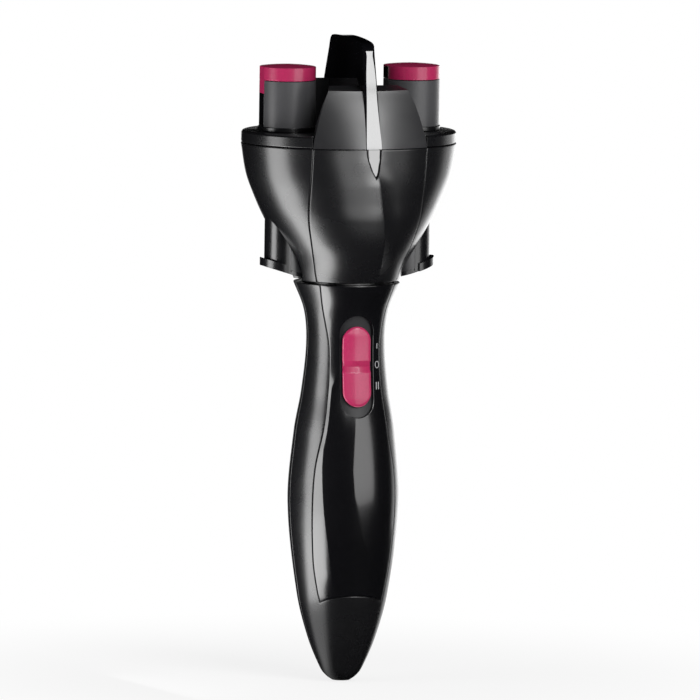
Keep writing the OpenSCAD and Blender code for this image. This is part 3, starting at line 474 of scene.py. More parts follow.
def make_camera():
    view = Vector((sin(AZIMUTH) * cos(ELEVATION), -cos(AZIMUTH) * cos(ELEVATION),
                   sin(ELEVATION)))
    right = Vector((cos(AZIMUTH), sin(AZIMUTH), 0))
    aim = Vector((0, 0, AIM_HEIGHT)) + AIM_RIGHT * right
    data = bpy.data.cameras.new("camera")
    data.sensor_width = SENSOR
    data.lens = SENSOR * DISTANCE / (PICTURE * PIXEL)
    data.clip_end = 50
    camera = add_object("camera", data)
    turn = view.to_track_quat("Z", "Y").to_matrix().to_4x4() @ Matrix.Rotation(ROLL, 4, "Z")
    camera.matrix_world = Matrix.Translation(aim + DISTANCE * view) @ turn
    bpy.context.scene.camera = camera


# ---- studio ---------------------------------------------------------------------------

LEFT_LIGHT = -82            # azimuth of the two boxes at the left
RIM_LIGHT = 140             # azimuth of the light behind the right side
SKY_GLOW = 0.35             # light of the white world, which mirrors don't show
BACKDROP = (0.76, 0.88)     # how near the rim light's azimuth the backdrop begins and is full
HORIZON = (-0.05, -0.01)
FLOOR_RADIUS, FLOOR_HEIGHT, FLOOR_CORNERS = 0.34, -0.0004, 128
FLOOR_COLOUR = 0.9
SHADOW_SHARE = 0.2          # how much of its shading the floor shows near the device
SHADOW_ENDS = (0.05, 0.25)
LEFT_SECTOR, RIGHT_SECTOR = (-115, -57), (116, 175)
SECTOR_EDGE = (-0.003, 0.008)


def toward(azimuth, distance, height=0.0):
    """Place at an azimuth counted from the front towards +X."""
    a = radians(azimuth)
    return Vector((distance * sin(a), -distance * cos(a), height))


def make_lamp(name, spot, beam, size, radiance):
    """Lamp box at a spot, facing along its beam."""
    data = bpy.data.lights.new(name, "AREA")
    data.shape = "RECTANGLE"
    data.size, data.size_y = size
    data.energy = radiance * pi * size[0] * size[1]
    lamp = add_object(name, data)
    lamp.location = spot
    lamp.rotation_euler = (-Vector(beam)).to_track_quat("Z", "Y").to_euler()
    lamp.visible_camera = False


def make_lamps():
    left = toward(LEFT_LIGHT, 1)
    rising = -0.60 * left + Vector((0, 0, 0.80))
    for name, away, height, size in (("left low box", 0.13, 0.036, (0.085, 0.113)),
                                     ("left box", 0.262, 0.136, (0.13, 0.22))):
        make_lamp(name, away * left + Vector((0, 0, height)), rising, size, 4.5)
    for name, spot, aim_height, size, radiance in (
            ("front box", toward(29, 0.9, 0.19), 0.125, (0.66, 0.42), 2.0),
            ("cup box", toward(0, 0.135, 0.172), 0.19, (0.09, 0.06), 1.5),
            ("spear box", toward(12, 0.125, 0.182), 0.20, (0.035, 0.030), 3.4),
            ("key", toward(17, 1.04, 0.82), 0.16, (0.50, 0.60), 6.2),
            ("rim box", toward(RIM_LIGHT, 1.0, -0.02), 0, (0.50, 0.44), 1.8)):
        make_lamp(name, spot, Vector((0, 0, aim_height)) - spot, size, radiance)


def make_world():
    """White to the camera; mirrors show only a low backdrop behind the right side."""
    world = bpy.data.worlds.new("studio")
    bpy.context.scene.world = world
    tree = empty_tree(world)
    out, sky = shader_node(tree, "OutputWorld"), shader_node(tree, "Background")
    sky.inputs["Color"].default_value = (1, 1, 1, 1)
    tree.links.new(sky.outputs[0], out.inputs["Surface"])
    path = shader_node(tree, "LightPath")
    way = shader_node(tree, "TexCoord").outputs["Generated"]
    split = shader_node(tree, "SeparateXYZ")
    tree.links.new(way, split.inputs[0])
    under = ramp(tree, node_value(tree, "MULTIPLY", split.outputs["Z"], -1), *HORIZON)
    beside = ramp(tree, dot(tree, way, toward(RIM_LIGHT, 1)), *BACKDROP)
    backdrop = node_value(tree, "MULTIPLY", under, beside)
    mirrored = mirror_rays(tree, path)
    plain = node_value(tree, "SUBTRACT", 1, mirrored)
    light = node_value(tree, "ADD", node_value(tree, "MULTIPLY", mirrored, backdrop),
                       node_value(tree, "MULTIPLY", plain, SKY_GLOW))
    strength = node_value(tree, "MAXIMUM", path.outputs["Is Camera Ray"], light)
    tree.links.new(strength, sky.inputs["Strength"])


def sector(tree, ground, low, high):
    """1 on the ground between two azimuths, less than 180 degrees apart, else 0."""
    sides = [ramp(tree, dot(tree, ground, toward(azimuth + turn, 1)), *SECTOR_EDGE)
             for azimuth, turn in ((low, 90), (high, -90))]
    return node_value(tree, "MULTIPLY", *sides)


def floor_material():
    """Pale paint under a white glow; mirrors show the glow in the two sectors."""
    mat = bpy.data.materials.new("pale floor")
    tree = empty_tree(mat)
    out = shader_node(tree, "OutputMaterial")
    paint, glow = shader_node(tree, "BsdfDiffuse"), shader_node(tree, "Emission")
    paint.inputs["Color"].default_value = (FLOOR_COLOUR, FLOOR_COLOUR, FLOOR_COLOUR, 1)
    path = shader_node(tree, "LightPath")
    camera = path.outputs["Is Camera Ray"]
    ground = shader_node(tree, "TexCoord").outputs["Object"]
    away = shader_node(tree, "VectorMath", "LENGTH")
    tree.links.new(ground, away.inputs[0])
    left, right = sector(tree, ground, *LEFT_SECTOR), sector(tree, ground, *RIGHT_SECTOR)
    mirrored = mirror_rays(tree, path)
    far = ramp(tree, away.outputs["Value"], *SHADOW_ENDS)
    seen = node_value(tree, "ADD", 1 - SHADOW_SHARE,
                      node_value(tree, "MULTIPLY", SHADOW_SHARE, far))
    share = node_value(tree, "ADD", node_value(tree, "MULTIPLY", camera, seen), mirrored,
                       clamp=True)
    lit = node_value(tree, "MULTIPLY", mirrored, node_value(tree, "ADD", left, right))
    tree.links.new(node_value(tree, "ADD", camera, lit, clamp=True), glow.inputs["Strength"])
    mix = shader_node(tree, "MixShader")
    for source, socket in ((share, 0), (paint.outputs[0], 1), (glow.outputs[0], 2)):
        tree.links.new(source, mix.inputs[socket])
    tree.links.new(mix.outputs[0], out.inputs["Surface"])
    return mat


def make_floor():
    """Round pale floor that runs into the white world and keeps the shadow."""
    angles = [2 * pi * i / FLOOR_CORNERS for i in range(FLOOR_CORNERS)]
    rim = [(FLOOR_RADIUS * cos(a), FLOOR_RADIUS * sin(a), FLOOR_HEIGHT) for a in angles]
    mesh = bpy.data.meshes.new("floor")
    mesh.from_pydata(rim, [], [list(range(FLOOR_CORNERS))])
    add_object("floor", mesh, floor_material())


# ---- carried-over CAD nodes -------------------------------------------------------------

SLOT_MATERIALS = {
    "gloss_black": GLOSS, "satin_black": SATIN, "grey": GREY, "pink": PINK,
    "white_plastic": WHITE, "steel": STEEL, "bronze": BRONZE, "board": BOARD, "cell": CELL}
NODE_MATERIALS = {
    "head_cover": SHEEN, "switch_bezel": FLOOR_GREY,
    "left_lever_core": SHIELD, "right_lever_core": SHIELD,
    "left_push_lever": LEVER_BLACK, "right_push_lever": LEVER_BLACK,
    "left_spindle_base": SHEEN, "right_spindle_base": SHEEN}


def smoothing_group(limit=30):
    """Geometry nodes that shade smooth across edges of up to the limit in degrees."""
    group = bpy.data.node_groups.new("smooth by angle", "GeometryNodeTree")
    for way in ("INPUT", "OUTPUT"):
        group.interface.new_socket("Geometry", in_out=way, socket_type="NodeSocketGeometry")
    new, link = group.nodes.new, group.links.new
    start, end = new("NodeGroupInput"), new("NodeGroupOutput")
    angle, even = new("GeometryNodeInputMeshEdgeAngle"), new("FunctionNodeCompare")
    faces, edges = new("GeometryNodeSetShadeSmooth"), new("GeometryNodeSetShadeSmooth")
    even.operation = "LESS_EQUAL"
    even.inputs[1].default_value = radians(limit)
    faces.domain, edges.domain = "FACE", "EDGE"
    link(start.outputs[0], faces.inputs["Geometry"])
    link(faces.outputs[0], edges.inputs["Geometry"])
    link(angle.outputs["Unsigned Angle"], even.inputs[0])
    link(even.outputs[0], edges.inputs["Shade Smooth"])
    link(edges.outputs[0], end.inputs[0])
    return group


def dress_nodes():
    """Gives each CAD node its material, flat planes, smooth curves and rounded edges."""
    group = smoothing_group()
    slots = {s["node"]: s["material_slot"] for s in frame["record"]["subparts"]}
    for name, obj in frame["nodes"].items():
        obj.data.materials.clear()
        obj.data.materials.append(NODE_MATERIALS.get(name, SLOT_MATERIALS[slots[name]]))
        obj.modifiers.new("weld", "WELD").merge_threshold = 1e-6
        flat = obj.modifiers.new("planes", "DECIMATE")
        flat.decimate_type = "DISSOLVE"
        flat.angle_limit = radians(0.4)
        obj.modifiers.new("smooth", "NODES").node_group = group
        edge = obj.modifiers.new("edges", "BEVEL")
        edge.width = 0.22 * MM
        edge.segments = 3
        edge.limit_method = "ANGLE"
        edge.angle_limit = radians(35)
        edge.harden_normals = True


# ---- ridged inlays ----------------------------------------------------------------------

def ridge(places, rise, fall):
    """Ridge along places [height, degrees]: rise(z) high, falling off on its right."""
    return (lambda z: radians(along(places, z)), rise, fall)


CUP_RIDGES = [
    ridge([(156, 17.0), (158, 16.4), (166, 13.4), (175.5, 10.3), (184, 6.8), (191, 4.8),
           (197, 3.0), (203, 0.0)],
          lambda z: 1.6 * ease(207, 194, z) * ease(154, 164, z), 6.5)]
GRIP_RIDGES = [
    ridge([(32, -27), (50, -31), (66, -36), (84, -40), (103, -40), (112, -38), (118, -31),
           (124, -22), (131, -8), (150, 10)],
          lambda z: 0.45 * ease(34, 44, z) * ease(156, 148, z), 7.0),
    ridge([(45, 20.5), (56.4, 5.3), (74, -4.7), (83.5, -6.8), (103, -3.2), (112, -2.0),
           (131, 10), (150, 24)],
          lambda z: 0.55 * ease(112, 104, z) * ease(42, 58, z), 8.0)]
LEFT_FLANK, RIGHT_FLANK = 1.2, 2    # powers that shape a ridge's two flanks
CALM = 2.0                          # width along the right edge where a ridge fades out
RIDGE_REACH = 0.9                   # share of the half width that a ridge stays within
ROUNDS = 4                          # rounds in which the foot's height and phi settle


def ridge_lift(ridges, middles, phi, z, side, radius):
    """How high the ridges lift an inlay at phi; side is the angle of its edge."""
    lift = 0.0
    for (_, rise, fall), middle in zip(ridges, middles):
        if phi < middle:
            lift += rise(z) * max(0.0, (phi + side) / (middle + side)) ** LEFT_FLANK
        else:
            lift += rise(z) * max(0.0, 1 - (phi - middle) * radius / fall) ** RIGHT_FLANK
    return lift * ease(0, CALM, (side - phi) * radius)


def panel_mesh(name, point, edge, foot, top, ridges, thick, columns, rows):
    """Inlay on a surface, with ridges that its columns follow."""
    count = len(ridges) + 1
    stations = [(0, 0.0, d, True) for d in EDGE_STEPS]
    stations += [(k, g, 0, False) for k in range(count) for g in spread(0, 1, columns)[:-1]][1:]
    stations += [(count - 1, 1.0, -d, True) for d in reversed(EDGE_STEPS)]
    outer, inner = [], []
    for g, up in edge_to_edge(rows):
        row, back = [], []
        for k, share, aside, near in stations:
            f = 0
            for _ in range(ROUNDS):
                low = foot(f) + SEAM
                z = low + g * (top - low) + up
                radius = hypot(*point(0, z).xy) / MM
                side = edge(z) - SEAM / radius
                bound = side - SEAM_ROUND / radius
                reach = RIDGE_REACH * bound
                marks = [-bound] + [min(max(r[0](z), -reach), reach) for r in ridges] + [bound]
                phi = marks[k] + share * (marks[k + 1] - marks[k])
                if near:
                    phi = (side if aside < 0 or share == 1 else -side) + aside / radius
                f = phi / side
            lift = ridge_lift(ridges, marks[1:], phi, z, side, radius)
            to_side = abs(aside) if near else SEAM_ROUND
            to_end = abs(up) if g in (0, 1) else SEAM_ROUND
            row.append(point(phi, z, rounding(to_side, to_end) - lift))
            back.append(point(phi, z, thick))
        outer.append(row)
        inner.append(back)
    return grid_mesh(name, outer, inner)


# ---- grip -----------------------------------------------------------------------------

FRONT_CUT, BACK_CUT = (-30, -8), (5, 30)    # along Y, through one wall of the grip
EDGE_WIDTH = 0.25
SCREW_HEIGHTS, SCREW_R, SCREW_DEEP = (24.0, 151.2), 2.3, 2.6
DOOR_HALF_ANGLE, DOOR_LEVELS = 0.85, (30, 96)
HOOK_X, HOOK_HALF, HOOK_FOOT, HOOK_BEND, HOOK_TOP = 6.5, 1.5, 33, 35.6, 37
HOOK_GAP, HOOK_IN, HOOK_ROOT, HOOK_OUT = 1.3, 0.9, 0.2, 1.7


def shell_depth(z):
    """Thickness of a grip shell, which thins out into the tip."""
    return GRIP_WALL * min(1, 0.2 + z / 20)


def inlay_foot(f):
    """Height of the grip inlay's arched foot at share f of its half width."""
    x = INLAY[0][1] * f
    return INLAY_FOOT + INLAY_ARCH * (1 - (x / ARCH_HALF) ** 2)


def make_grip_panel():
    mesh = panel_mesh("grip inlay", grip_point, grip_edge, inlay_foot, GRIP_TOP,
                      GRIP_RIDGES, GRIP_INLAY_THICK, columns=26, rows=150)
    obj = add_object("grip_inlay", mesh, INLAY_BLACK)
    boolean(obj, prism(pill(RECESS_LEN, RECESS_W, SWITCH_H), *FRONT_CUT, "Y"))
    smooth(obj)
    place(obj, "handle", "gloss_black", "front_panel")


def front_shell_point(g, up, f, aside, out):
    """Angle, height and drop of a front shell's point.

    Up to g = 1 it lies below the inlay's foot and up to g = 2 beside the inlay; f runs across
    the inlay, and out from the inlay's edge to the part line.
    """
    foot = inlay_foot(max(-1, min(1, f)))
    z = (g * foot if g <= 1 else foot + (g - 1) * (GRIP_TOP - foot)) + up
    radius = at(GRIP, z)
    edge = grip_edge(max(z, INLAY_FOOT))
    rest = pi / 2 - edge
    if abs(out) in (0, 1):
        phi = f * edge + out * rest + aside / radius
    else:
        bend = SEAM_ROUND / radius
        phi = copysign(edge + bend + abs(out) * (rest - 2 * bend), out)
    beside = abs(f) == 1
    to_inlay = SEAM_ROUND
    if g > 1 and beside and out == 0:
        to_inlay = abs(aside)
    elif g == 1 and not beside:
        to_inlay = abs(up)
    elif g == 1 and out == 0:
        to_inlay = min(hypot(up, aside), SEAM_ROUND)
    to_part = abs(aside) if abs(out) == 1 else SEAM_ROUND
    to_top = abs(up) if g == 2 else SEAM_ROUND
    return phi, z, rounding(to_inlay, to_part, to_top)


def make_front_shell():
    """Front half of the grip with the inlay's place left open."""
    side_steps = [(1, d, 0) for d in EDGE_STEPS]
    side_steps += [(1, SEAM_ROUND, g) for g in spread(0, 1, 18)[1:-1]]
    side_steps += [(1, -d, 1) for d in reversed(EDGE_STEPS)]
    middle = [(f, 0, 0) for f in spread(-1, 1, 24)[1:-1]]
    stations = [(-f, -d, -g) for f, d, g in reversed(side_steps)] + middle + side_steps
    low_levels = [(g, 0) for g in spread(0, 1, 28)[:-1]] + to_edge(1)
    high_levels = [(1 + g, 0) for g in spread(0, 1, 120)[1:-1]] + to_edge(2)
    outer, inner = [], []
    for g, up in low_levels + high_levels:
        places = [front_shell_point(g, up, *station) for station in stations]
        outer.append([grip_point(phi, z, drop) for phi, z, drop in places])
        inner.append([grip_point(phi, z, shell_depth(z)) for phi, z, _ in places])
    first = len(side_steps) - 1
    last = first + len(middle) + 1
    start = len(low_levels) - 1
    mesh = grid_mesh("front shell", outer, inner,
                     keep=lambda j, i: not (j >= start and first <= i < last))
    obj = add_object("grip_front", mesh, SATIN)
    smooth(obj)
    place(obj, "handle", "satin_black", "handle_front_shell")


def back_skin(name, stations, levels, thick):
    """Skin on the grip's back; stations and levels are [place, distance, near an edge]."""
    outer, inner = [], []
    for z, up, to_end in levels:
        row, back = [], []
        for phi, aside, to_side in stations:
            turn = phi + aside / at(GRIP, z + up)
            row.append(grip_point(turn, z + up, rounding(to_side, to_end)))
            back.append(grip_point(turn, z + up, thick(z)))
        outer.append(row)
        inner.append(back)
    return grid_mesh(name, outer, inner)


def make_rear_shell():
    sides = [(pi / 2, d, d) for d in EDGE_STEPS]
    sides += [(p, 0, FAR) for p in spread(pi / 2, 3 * pi / 2, 72)[1:-1]]
    sides += [(3 * pi / 2, -d, d) for d in reversed(EDGE_STEPS)]
    levels = [(z, 0, FAR) for z in spread(0, GRIP_TOP, 150)[:-1]]
    levels += [(GRIP_TOP, -d, d) for d in reversed(EDGE_STEPS)]
    obj = add_object("grip_rear", back_skin("rear shell", sides, levels, shell_depth), SATIN)
    boolean(obj, prism(rounded_rect(DOOR_W, DOOR_FOOT, DOOR_TOP, DOOR_CORNER), *BACK_CUT, "Y"))
    for z in SCREW_HEIGHTS:
        hole = prism(circle(SCREW_R, 0, z, 48), at(GRIP, z) - SCREW_DEEP, BACK_CUT[1], "Y")
        boolean(obj, hole)
    dress_edges(obj, EDGE_WIDTH)
    place(obj, "handle", "satin_black", "handle_rear_shell")


def make_door():
    """Battery door with its two hinge hooks."""
    turns = spread(pi - DOOR_HALF_ANGLE, pi + DOOR_HALF_ANGLE, 48)
    sides = [(p, 0, FAR) for p in turns]
    levels = [(z, 0, FAR) for z in spread(*DOOR_LEVELS, 60)]
    obj = add_object("cell_door", back_skin("door", sides, levels, lambda z: GRIP_WALL), SATIN)
    outline = rounded_rect(DOOR_W - 2 * DOOR_GAP, DOOR_FOOT + DOOR_GAP, DOOR_TOP - DOOR_GAP,
                           DOOR_CORNER - DOOR_GAP)
    boolean(obj, prism(outline, *BACK_CUT, "Y"), "INTERSECT")
    for side in (-1, 1):
        x = side * HOOK_X
        y = sqrt((at(GRIP, DOOR_FOOT) - GRIP_WALL) ** 2 - x * x) - HOOK_GAP
        for low, reach in ((HOOK_FOOT, HOOK_ROOT), (HOOK_BEND, HOOK_OUT)):
            merge(obj, prism(box(HOOK_HALF, low, HOOK_TOP, x), y - HOOK_IN, y + reach, "Y"))
    dress_edges(obj, EDGE_WIDTH)
    place(obj, "battery_door", "satin_black", "battery_door")


# ---- switch -----------------------------------------------------------------------------

SLIDER_RISE, SLIDER_ROUND = 0.7, 0.9
SLIDER_SLOPE, SLIDER_END = 4, 0.9           # the rise fades out towards the two ends
GROOVE_DEEP, GROOVE_HALF = 1.0, 2.3
SLIDER_SEAT, SLIDER_THIN = 0.95, 0.15       # depth of its back and least thickness
BEAD = [(-0.02, -0.7), (-0.02, 0.02), (0.05, 0.10), (0.16, 0.13), (0.28, 0.09),
        (0.36, -0.02), (0.36, -0.7)]        # section [outwards, up]
MARK_X, MARK_HALF, MARK_RISE, MARK_SUNK = 8.8, 0.19, 0.03, 0.06
ONE_H, ONE_HALF = 131.0, 1.0
NOUGHT_H, NOUGHT_A, NOUGHT_B = 123.8, 1.0, 1.4
TWO_H, TWO_HALF, TWO_X = 115.7, 1.4, (8.25, 9.3)


def slider_top(off, inset):
    """Height over the grip's surface, off the slider's middle and inset from its side."""
    top = SLIDER_RISE * min(1, (SLIDER_LEN / 2 + SLIDER_END - abs(off)) / SLIDER_SLOPE)
    near = max(0.0, SLIDER_ROUND - inset)
    top -= SLIDER_ROUND - sqrt(max(0.0, SLIDER_ROUND ** 2 - near ** 2))
    return top - GROOVE_DEEP * max(0.0, 1 - abs(off) / GROOVE_HALF)


def make_slider():
    """Thumb slider with rounded edges and a V groove across it."""
    insets = [0, 0.04, 0.12, 0.25, 0.42, 0.65, 0.9, 1.3, 1.9, 2.6, 3.4, 4.2, 5.0,
              SLIDER_W / 2 - 0.002]
    outer, inner = [], []
    for inset in insets:
        row, back = [], []
        for x, z in pill(SLIDER_LEN - 2 * inset, SLIDER_W - 2 * inset, SWITCH_H, 24, 120):
            radius = at(GRIP, z)
            widest = max(radius, at(GRIP, z - SLIDER_TRAVEL), at(GRIP, z + SLIDER_TRAVEL))
            deep = radius - widest + SLIDER_SEAT
            top = slider_top(z - SWITCH_H, inset)
            row.append(front_point(x, z, min(-top, deep - SLIDER_THIN)))
            back.append(front_point(x, z, deep))
        outer.append(row)
        inner.append(back)
    obj = add_object("thumb_slider", grid_mesh("slider", outer, inner, wrap=True), PINK)
    smooth(obj, 24)
    place(obj, "switch_slider", "pink", "switch_button")


def make_recess_edge():
    """Bead round the slider's recess."""
    outline = pill(RECESS_LEN, RECESS_W, SWITCH_H, 40, 80)
    count = len(outline)
    points = []
    for i, (x, z) in enumerate(outline):
        (x0, z0), (x1, z1) = outline[i - 1], outline[(i + 1) % count]
        out = Vector((z1 - z0, x0 - x1)).normalized()
        points += [front_point(x + m * out.x, z + m * out.y, -up) for m, up in BEAD]
    mesh = outward_mesh("bead", points, ring_faces(count, len(BEAD)))
    obj = add_object("recess_edge", mesh, GLOSS)
    smooth(obj, 40)
    place(obj, "handle", "gloss_black")


def stroke(rows, wrap=False):
    """Thin raised stroke over rows of places [x, z]."""
    outer = [[front_point(x, z, -MARK_RISE) for x, z in row] for row in rows]
    inner = [[front_point(x, z, MARK_SUNK) for x, z in row] for row in rows]
    return grid_mesh("stroke", outer, inner, wrap=wrap)


def bar(x, z, half):
    return stroke([[(x + MARK_HALF * s, z + half * t) for s in (-1, 0, 1)]
                   for t in spread(-1, 1, 8)])


def nought(x, z, count=40):
    rings = [[(x + (NOUGHT_A - w) * cos(2 * pi * i / count),
               z + (NOUGHT_B - w) * sin(2 * pi * i / count)) for i in range(count)]
             for w in (0.0, 0.14, 0.28)]
    return stroke(rings, wrap=True)


def make_marks():
    """I, 0 and II beside the slider, as thin raised strokes."""
    work = bmesh.new()
    work.from_mesh(bar(MARK_X, ONE_H, ONE_HALF))
    work.from_mesh(nought(MARK_X, NOUGHT_H))
    for x in TWO_X:
        work.from_mesh(bar(x, TWO_H, TWO_HALF))
    mesh = bpy.data.meshes.new("marks")
    work.to_mesh(mesh)
    work.free()
    place(add_object("switch_marks", mesh, MARK), "handle", "gloss_black")


# ---- cup ------------------------------------------------------------------------------

SPEAR = [  # [left, right, height] of the spear that runs on from the fin, from its tip up
    (1.2, 1.2, 197.3), (0.2, 2.0, 199.0), (-0.9, 2.5, 201.0), (-2.0, 2.85, 204.0),
    (-2.7, 2.97, 206.5), (-3.0, 3.0, 208.9)]
SPEAR_ROUND, SPEAR_SLOPE, SPEAR_RISE, SPEAR_TIP = 0.3, 0.6, 0.15, 0.02
SPEAR_CUT, OUTSIDE = 20, 40                 # cuts along Y start within the head, end outside
INLAY_SEAT = 1.35                           # depth of the cup under its inlays
HUB_BORE, HUB_R, HUB_GROOVE_R = 4.2, 8, 7
HUB_FOOT, HUB_GROOVE, HUB_TOP = 145.5, (146.3, 147.5), 161.4
CUP_FLOOR = ((18.9, CUP_FOOT + 0.1), (18.7, 159.4))     # [radius, height] of its outer edge
SLEEVE_GAP, BORE_FOOT, BORE_TOP = 0.3, CUP_FOOT - 5, 189.5


def span(side, near, far):
    """Low and high end along Y of what lies from near to far, in front or behind."""
    return sorted((side * near, side * far))


def spear_outline(gap):
    """Outline [x, z] of the spear's place in an inlay, wider than the spear by a gap."""
    tip, sides = SPEAR[0], SPEAR[1:]
    top = CUP_TOP + 2
    return ([(sides[-1][0] - gap, top)] + [(left - gap, z) for left, _, z in reversed(sides)]
            + [(tip[0], tip[2] - 2 * gap)] + [(right + gap, z) for _, right, z in sides]
            + [(sides[-1][1] + gap, top)])


def make_cup_panel(name, side, node):
    """Inlay of the cup with the spear's place cut out; side is -1 in front, 1 behind."""
    turn = 0 if side < 0 else pi

    def point(phi, z, depth=0.0):
        return cup_point(phi + turn, z, depth)

    mesh = panel_mesh(name, point, cup_edge, lambda f: CUP_FOOT, CUP_TOP, CUP_RIDGES,
                      CUP_INLAY_THICK, columns=45, rows=72)
    obj = add_object(name, mesh, SHEEN)
    boolean(obj, prism(spear_outline(SEAM), *span(side, SPEAR_CUT, OUTSIDE), "Y"))
    smooth(obj)
    place(obj, "head", "gloss_black", node)


def cup_skin():
    """Wall of the cup, thinner under both inlays."""
    outer, inner = [], []
    for g, up in edge_to_edge(72):
        z = CUP_FOOT + g * (CUP_TOP - CUP_FOOT) + up
        edge = cup_edge(z)
        to_end = abs(up) if g in (0, 1) else SEAM_ROUND
        row, back = [], []
        for half in (0, pi):
            for f, aside in edge_to_edge(84):
                phi = half + edge + f * (pi - 2 * edge) + aside / at(CUP, z, 1)
                to_side = abs(aside) if f in (0, 1) else SEAM_ROUND
                row.append(cup_point(phi, z, rounding(to_side, to_end)))
                back.append(cup_point(phi, z, CUP_WALL))
            for f in spread(-1, 1, 24):
                phi = half + pi + f * edge
                row.append(cup_point(phi, z, INLAY_SEAT))
                back.append(cup_point(phi, z, CUP_WALL))
        outer.append(row)
        inner.append(back)
    return grid_mesh("cup", outer, inner, wrap=True)


def make_cup():
    """Cup with both inlays' places let in, its floor, and the hub that it turns on."""
    obj = add_object("cup", cup_skin(), SHEEN)
    (floor_r, floor_foot), (floor_top_r, floor_top) = CUP_FLOOR
    low, high = HUB_GROOVE
    floor = turned("floor", [
        (HUB_BORE, HUB_FOOT), (HUB_R, HUB_FOOT), (HUB_R, low), (HUB_GROOVE_R, low),
        (HUB_GROOVE_R, high), (HUB_R, high), (HUB_R, floor_foot), (floor_r, floor_foot),
        (floor_top_r, floor_top), (HUB_R, floor_top), (HUB_R, HUB_TOP), (HUB_BORE, HUB_TOP)])
    for part in (obj, floor):
        for side in (-1, 1):
            bore = circle(SLEEVE_R + SLEEVE_GAP, side * SPINDLE_X)
            boolean(part, prism(bore, BORE_FOOT, BORE_TOP))
    merge(obj, floor)
    smooth(obj)
    place(obj, "head", "gloss_black", "head_cup")


# ---- fin, shrouds and springs -----------------------------------------------------------

FIN_SIDE = [  # [y, height], from the foot at the front over the top to the foot at the back
    (-34.2, BAND_FOOT), (-33.4, 212.8), (-30.2, 226.4), (-28.1, 236.7), (-26.3, 243.6),
    (-25.3, 246.6), (-23.8, 248.5), (-21.4, 249.4), (-15, 250.0), (-8, 250.3), (0, FIN_TOP),
    (10, 250.1), (15, 249.7), (17.6, 248.9), (19.1, 247.2), (20.2, 244.2), (25.4, 232.4),
    (30, 220.3), (33, 212.8), (34.2, BAND_FOOT)]
FIN_INSIDE = 31.4                           # inner end of its two feet
FIN_HALF, FIN_TAPER = 3.0, 0.7
BEVEL_REACH = 12
BEVEL = [(FIN_HALF, -34.3, BAND_FOOT - 1), (1.15, -26.0, 244.7), (1.1, -24.6, 252.0)]
TIE_HALF, TIE_FOOT, TIE_TOP, TIE_Y = 2, 208, 211, (33.3, 32.2)
SHROUD = [  # [share of the height, half width, depth at the sides, depth in the middle]
    (0, 23, 28.55, 34), (0.14, 22.5, 28.4, 33.1), (0.34, 21.3, 27.9, 31.9),
    (0.54, 20.1, 27.2, 30.6), (0.78, 18.3, 26.2, 28.7), (1, 16.1, 25, 26.6)]
SHROUD_TUCK = 2.4                           # how much narrower its back is on each side
NOTCH_HALF, NOTCH_Y = 24, (10, 26.5)
FIN_GAP, FIN_SLOT_Y, BELOW, ABOVE = 0.12, 5, 205, 236
COILS, COIL_POINTS, WIRE_POINTS, WIRE_R, COIL_R = 4, 48, 10, 0.4, 6.3


def fin_half(z):
    """Half of the fin's thickness at height z."""
    return FIN_HALF - FIN_TAPER * (z - BAND_FOOT) / (FIN_TOP - BAND_FOOT)


def fin_blade():
    """Fin whose flat sides draw together upwards and whose front edge is bevelled."""
    outline = curve(FIN_SIDE, 6) + [(FIN_INSIDE, BAND_FOOT), (FIN_INSIDE, DECK),
                                    (-FIN_INSIDE, DECK), (-FIN_INSIDE, BAND_FOOT)]
    points = [(s * fin_half(z), y, z) for s in (-1, 1) for y, z in outline]
    obj = solid("divider", points, prism_faces(len(outline)))
    wedge = [[0, 1, 2], [8, 7, 6]]
    wedge += [[b + i, b + (i + 1) % 3, b + 3 + (i + 1) % 3, b + 3 + i]
              for b in (0, 3) for i in range(3)]
    for side in (-1, 1):
        points = [(side * (half + BEVEL_REACH * k), y + BEVEL_REACH * m, z)
                  for half, y, z in BEVEL for k, m in ((0, 0), (1, 1), (1, -1))]
        boolean(obj, solid("bevel", points, wedge))
    return obj


def spear_mesh(turn):
    """Spear that lies in an inlay; turn is 0 in front and pi behind."""
    outer, inner = [], []
    for left, right, z in curve(SPEAR, 6):
        low = left + SEAM
        high = right - SEAM if right - left > 1 else low + SPEAR_TIP
        row, back = [], []
        for x in spread(low, high, 16):
            near = max(0, min(x - left - SEAM, right - SEAM - x))
            phi = turn + asin(x / at(CUP, z, 1))
            drop = max(0.0, SPEAR_ROUND - near) * SPEAR_SLOPE - SPEAR_RISE
            row.append(cup_point(phi, z, drop))
            back.append(cup_point(phi, z, CUP_INLAY_THICK))
        outer.append(row)
        inner.append(back)
    return grid_mesh("spear", outer, inner)


def make_fin():
    """Fin with its two spears and the blocks that tie them to it."""
    obj = fin_blade()
    obj.data.materials.append(GLOSS)
    for side, turn in ((-1, 0), (1, pi)):
        merge(obj, bpy.data.objects.new("spear", spear_mesh(turn)))
        merge(obj, prism(box(TIE_HALF, TIE_FOOT, TIE_TOP), *[side * y for y in TIE_Y], "Y"))
    dress_edges(obj, 0.3, 30)
    place(obj, "head", "gloss_black", "divider_fin")


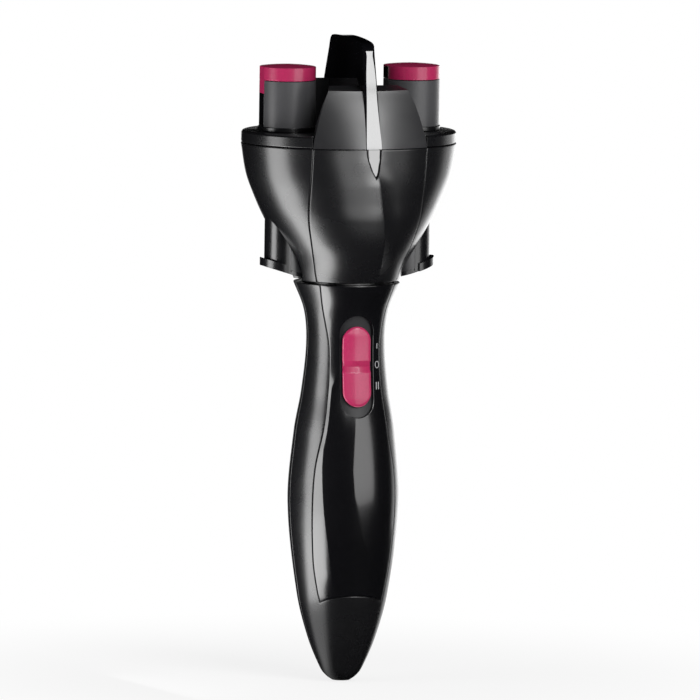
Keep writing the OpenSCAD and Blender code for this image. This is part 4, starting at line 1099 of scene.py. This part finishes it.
def make_shroud(side, name, node):
    """Curved shield in front of or behind the middle, cut out for the deck and the fin."""
    outer, inner = [], []
    for share in spread(0, 1, 36):
        half, at_side, at_middle = (at(SHROUD, share, c) for c in (1, 2, 3))
        z = BAND_FOOT + share * (SHROUD_TOP - BAND_FOOT)
        lift = SHROUD_RISE if share == 1 else 0
        row, back = [], []
        for f in spread(-1, 1, 48):
            y = at_middle - (at_middle - at_side) * f * f
            rise = lift * (at_middle - y) / (at_middle - SHROUD_BACK)
            row.append(Vector((f * half, side * y, z + rise)) * MM)
            back.append(Vector((f * (half - SHROUD_TUCK), side * SHROUD_BACK, z + lift)) * MM)
        outer.append(row)
        inner.append(back)
    obj = add_object(name, grid_mesh(name, outer, inner), SHIELD)
    boolean(obj, prism(box(NOTCH_HALF, BELOW, DECK), *span(side, *NOTCH_Y), "Y"))
    for bottom, near in ((DECK, FIN_SLOT_Y), (BELOW, FIN_INSIDE)):
        foot, top = fin_half(bottom) + FIN_GAP, fin_half(ABOVE) + FIN_GAP
        slot = [(-foot, bottom), (foot, bottom), (top, ABOVE), (-top, ABOVE)]
        boolean(obj, prism(slot, *span(side, near, OUTSIDE), "Y"))
    dress_edges(obj, 0.3)
    place(obj, "head", "grey", node)


def make_spring(side, name):
    """Return spring, which rides on its lever."""
    count = COILS * COIL_POINTS
    length = PLATE - SPRING_FOOT
    rise = (length - 2 * WIRE_R) / count
    points = []
    for i in range(count + 1):
        turn = 2 * pi * i / COIL_POINTS
        for j in range(WIRE_POINTS):
            around = 2 * pi * (j + 0.5) / WIRE_POINTS
            r = COIL_R + WIRE_R * cos(around)
            points.append((side * (SPINDLE_X + r * cos(turn)), r * sin(turn),
                           SPRING_FOOT + WIRE_R + rise * i + WIRE_R * sin(around)))
    faces = ring_faces(count + 1, WIRE_POINTS)[:-WIRE_POINTS]
    last = count * WIRE_POINTS
    faces += [list(range(WIRE_POINTS)), list(range(last + WIRE_POINTS - 1, last - 1, -1))]
    obj = solid(name, points, faces)
    obj.data.materials.append(STEEL)
    smooth(obj, 40, False)
    place(obj, side_name(side) + "_lever", "steel", side_name(side) + "_return_spring")
    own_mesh(obj)


# ---- scene ----------------------------------------------------------------------------

make_camera()
bpy.context.scene.view_settings.view_transform = "Standard"
make_lamps()
make_world()
make_floor()
dress_nodes()
make_rear_shell()
make_door()
make_slider()
make_recess_edge()
make_marks()
make_grip_panel()
make_front_shell()
make_cup()
make_cup_panel("cup_inlay_front", -1, "cup_front_panel")
make_cup_panel("cup_inlay_rear", 1, "cup_rear_panel")
make_spring(-1, "left_spring")
make_spring(1, "right_spring")
make_fin()
make_shroud(-1, "shield_front", "front_shroud")
make_shroud(1, "shield_rear", "rear_shroud")
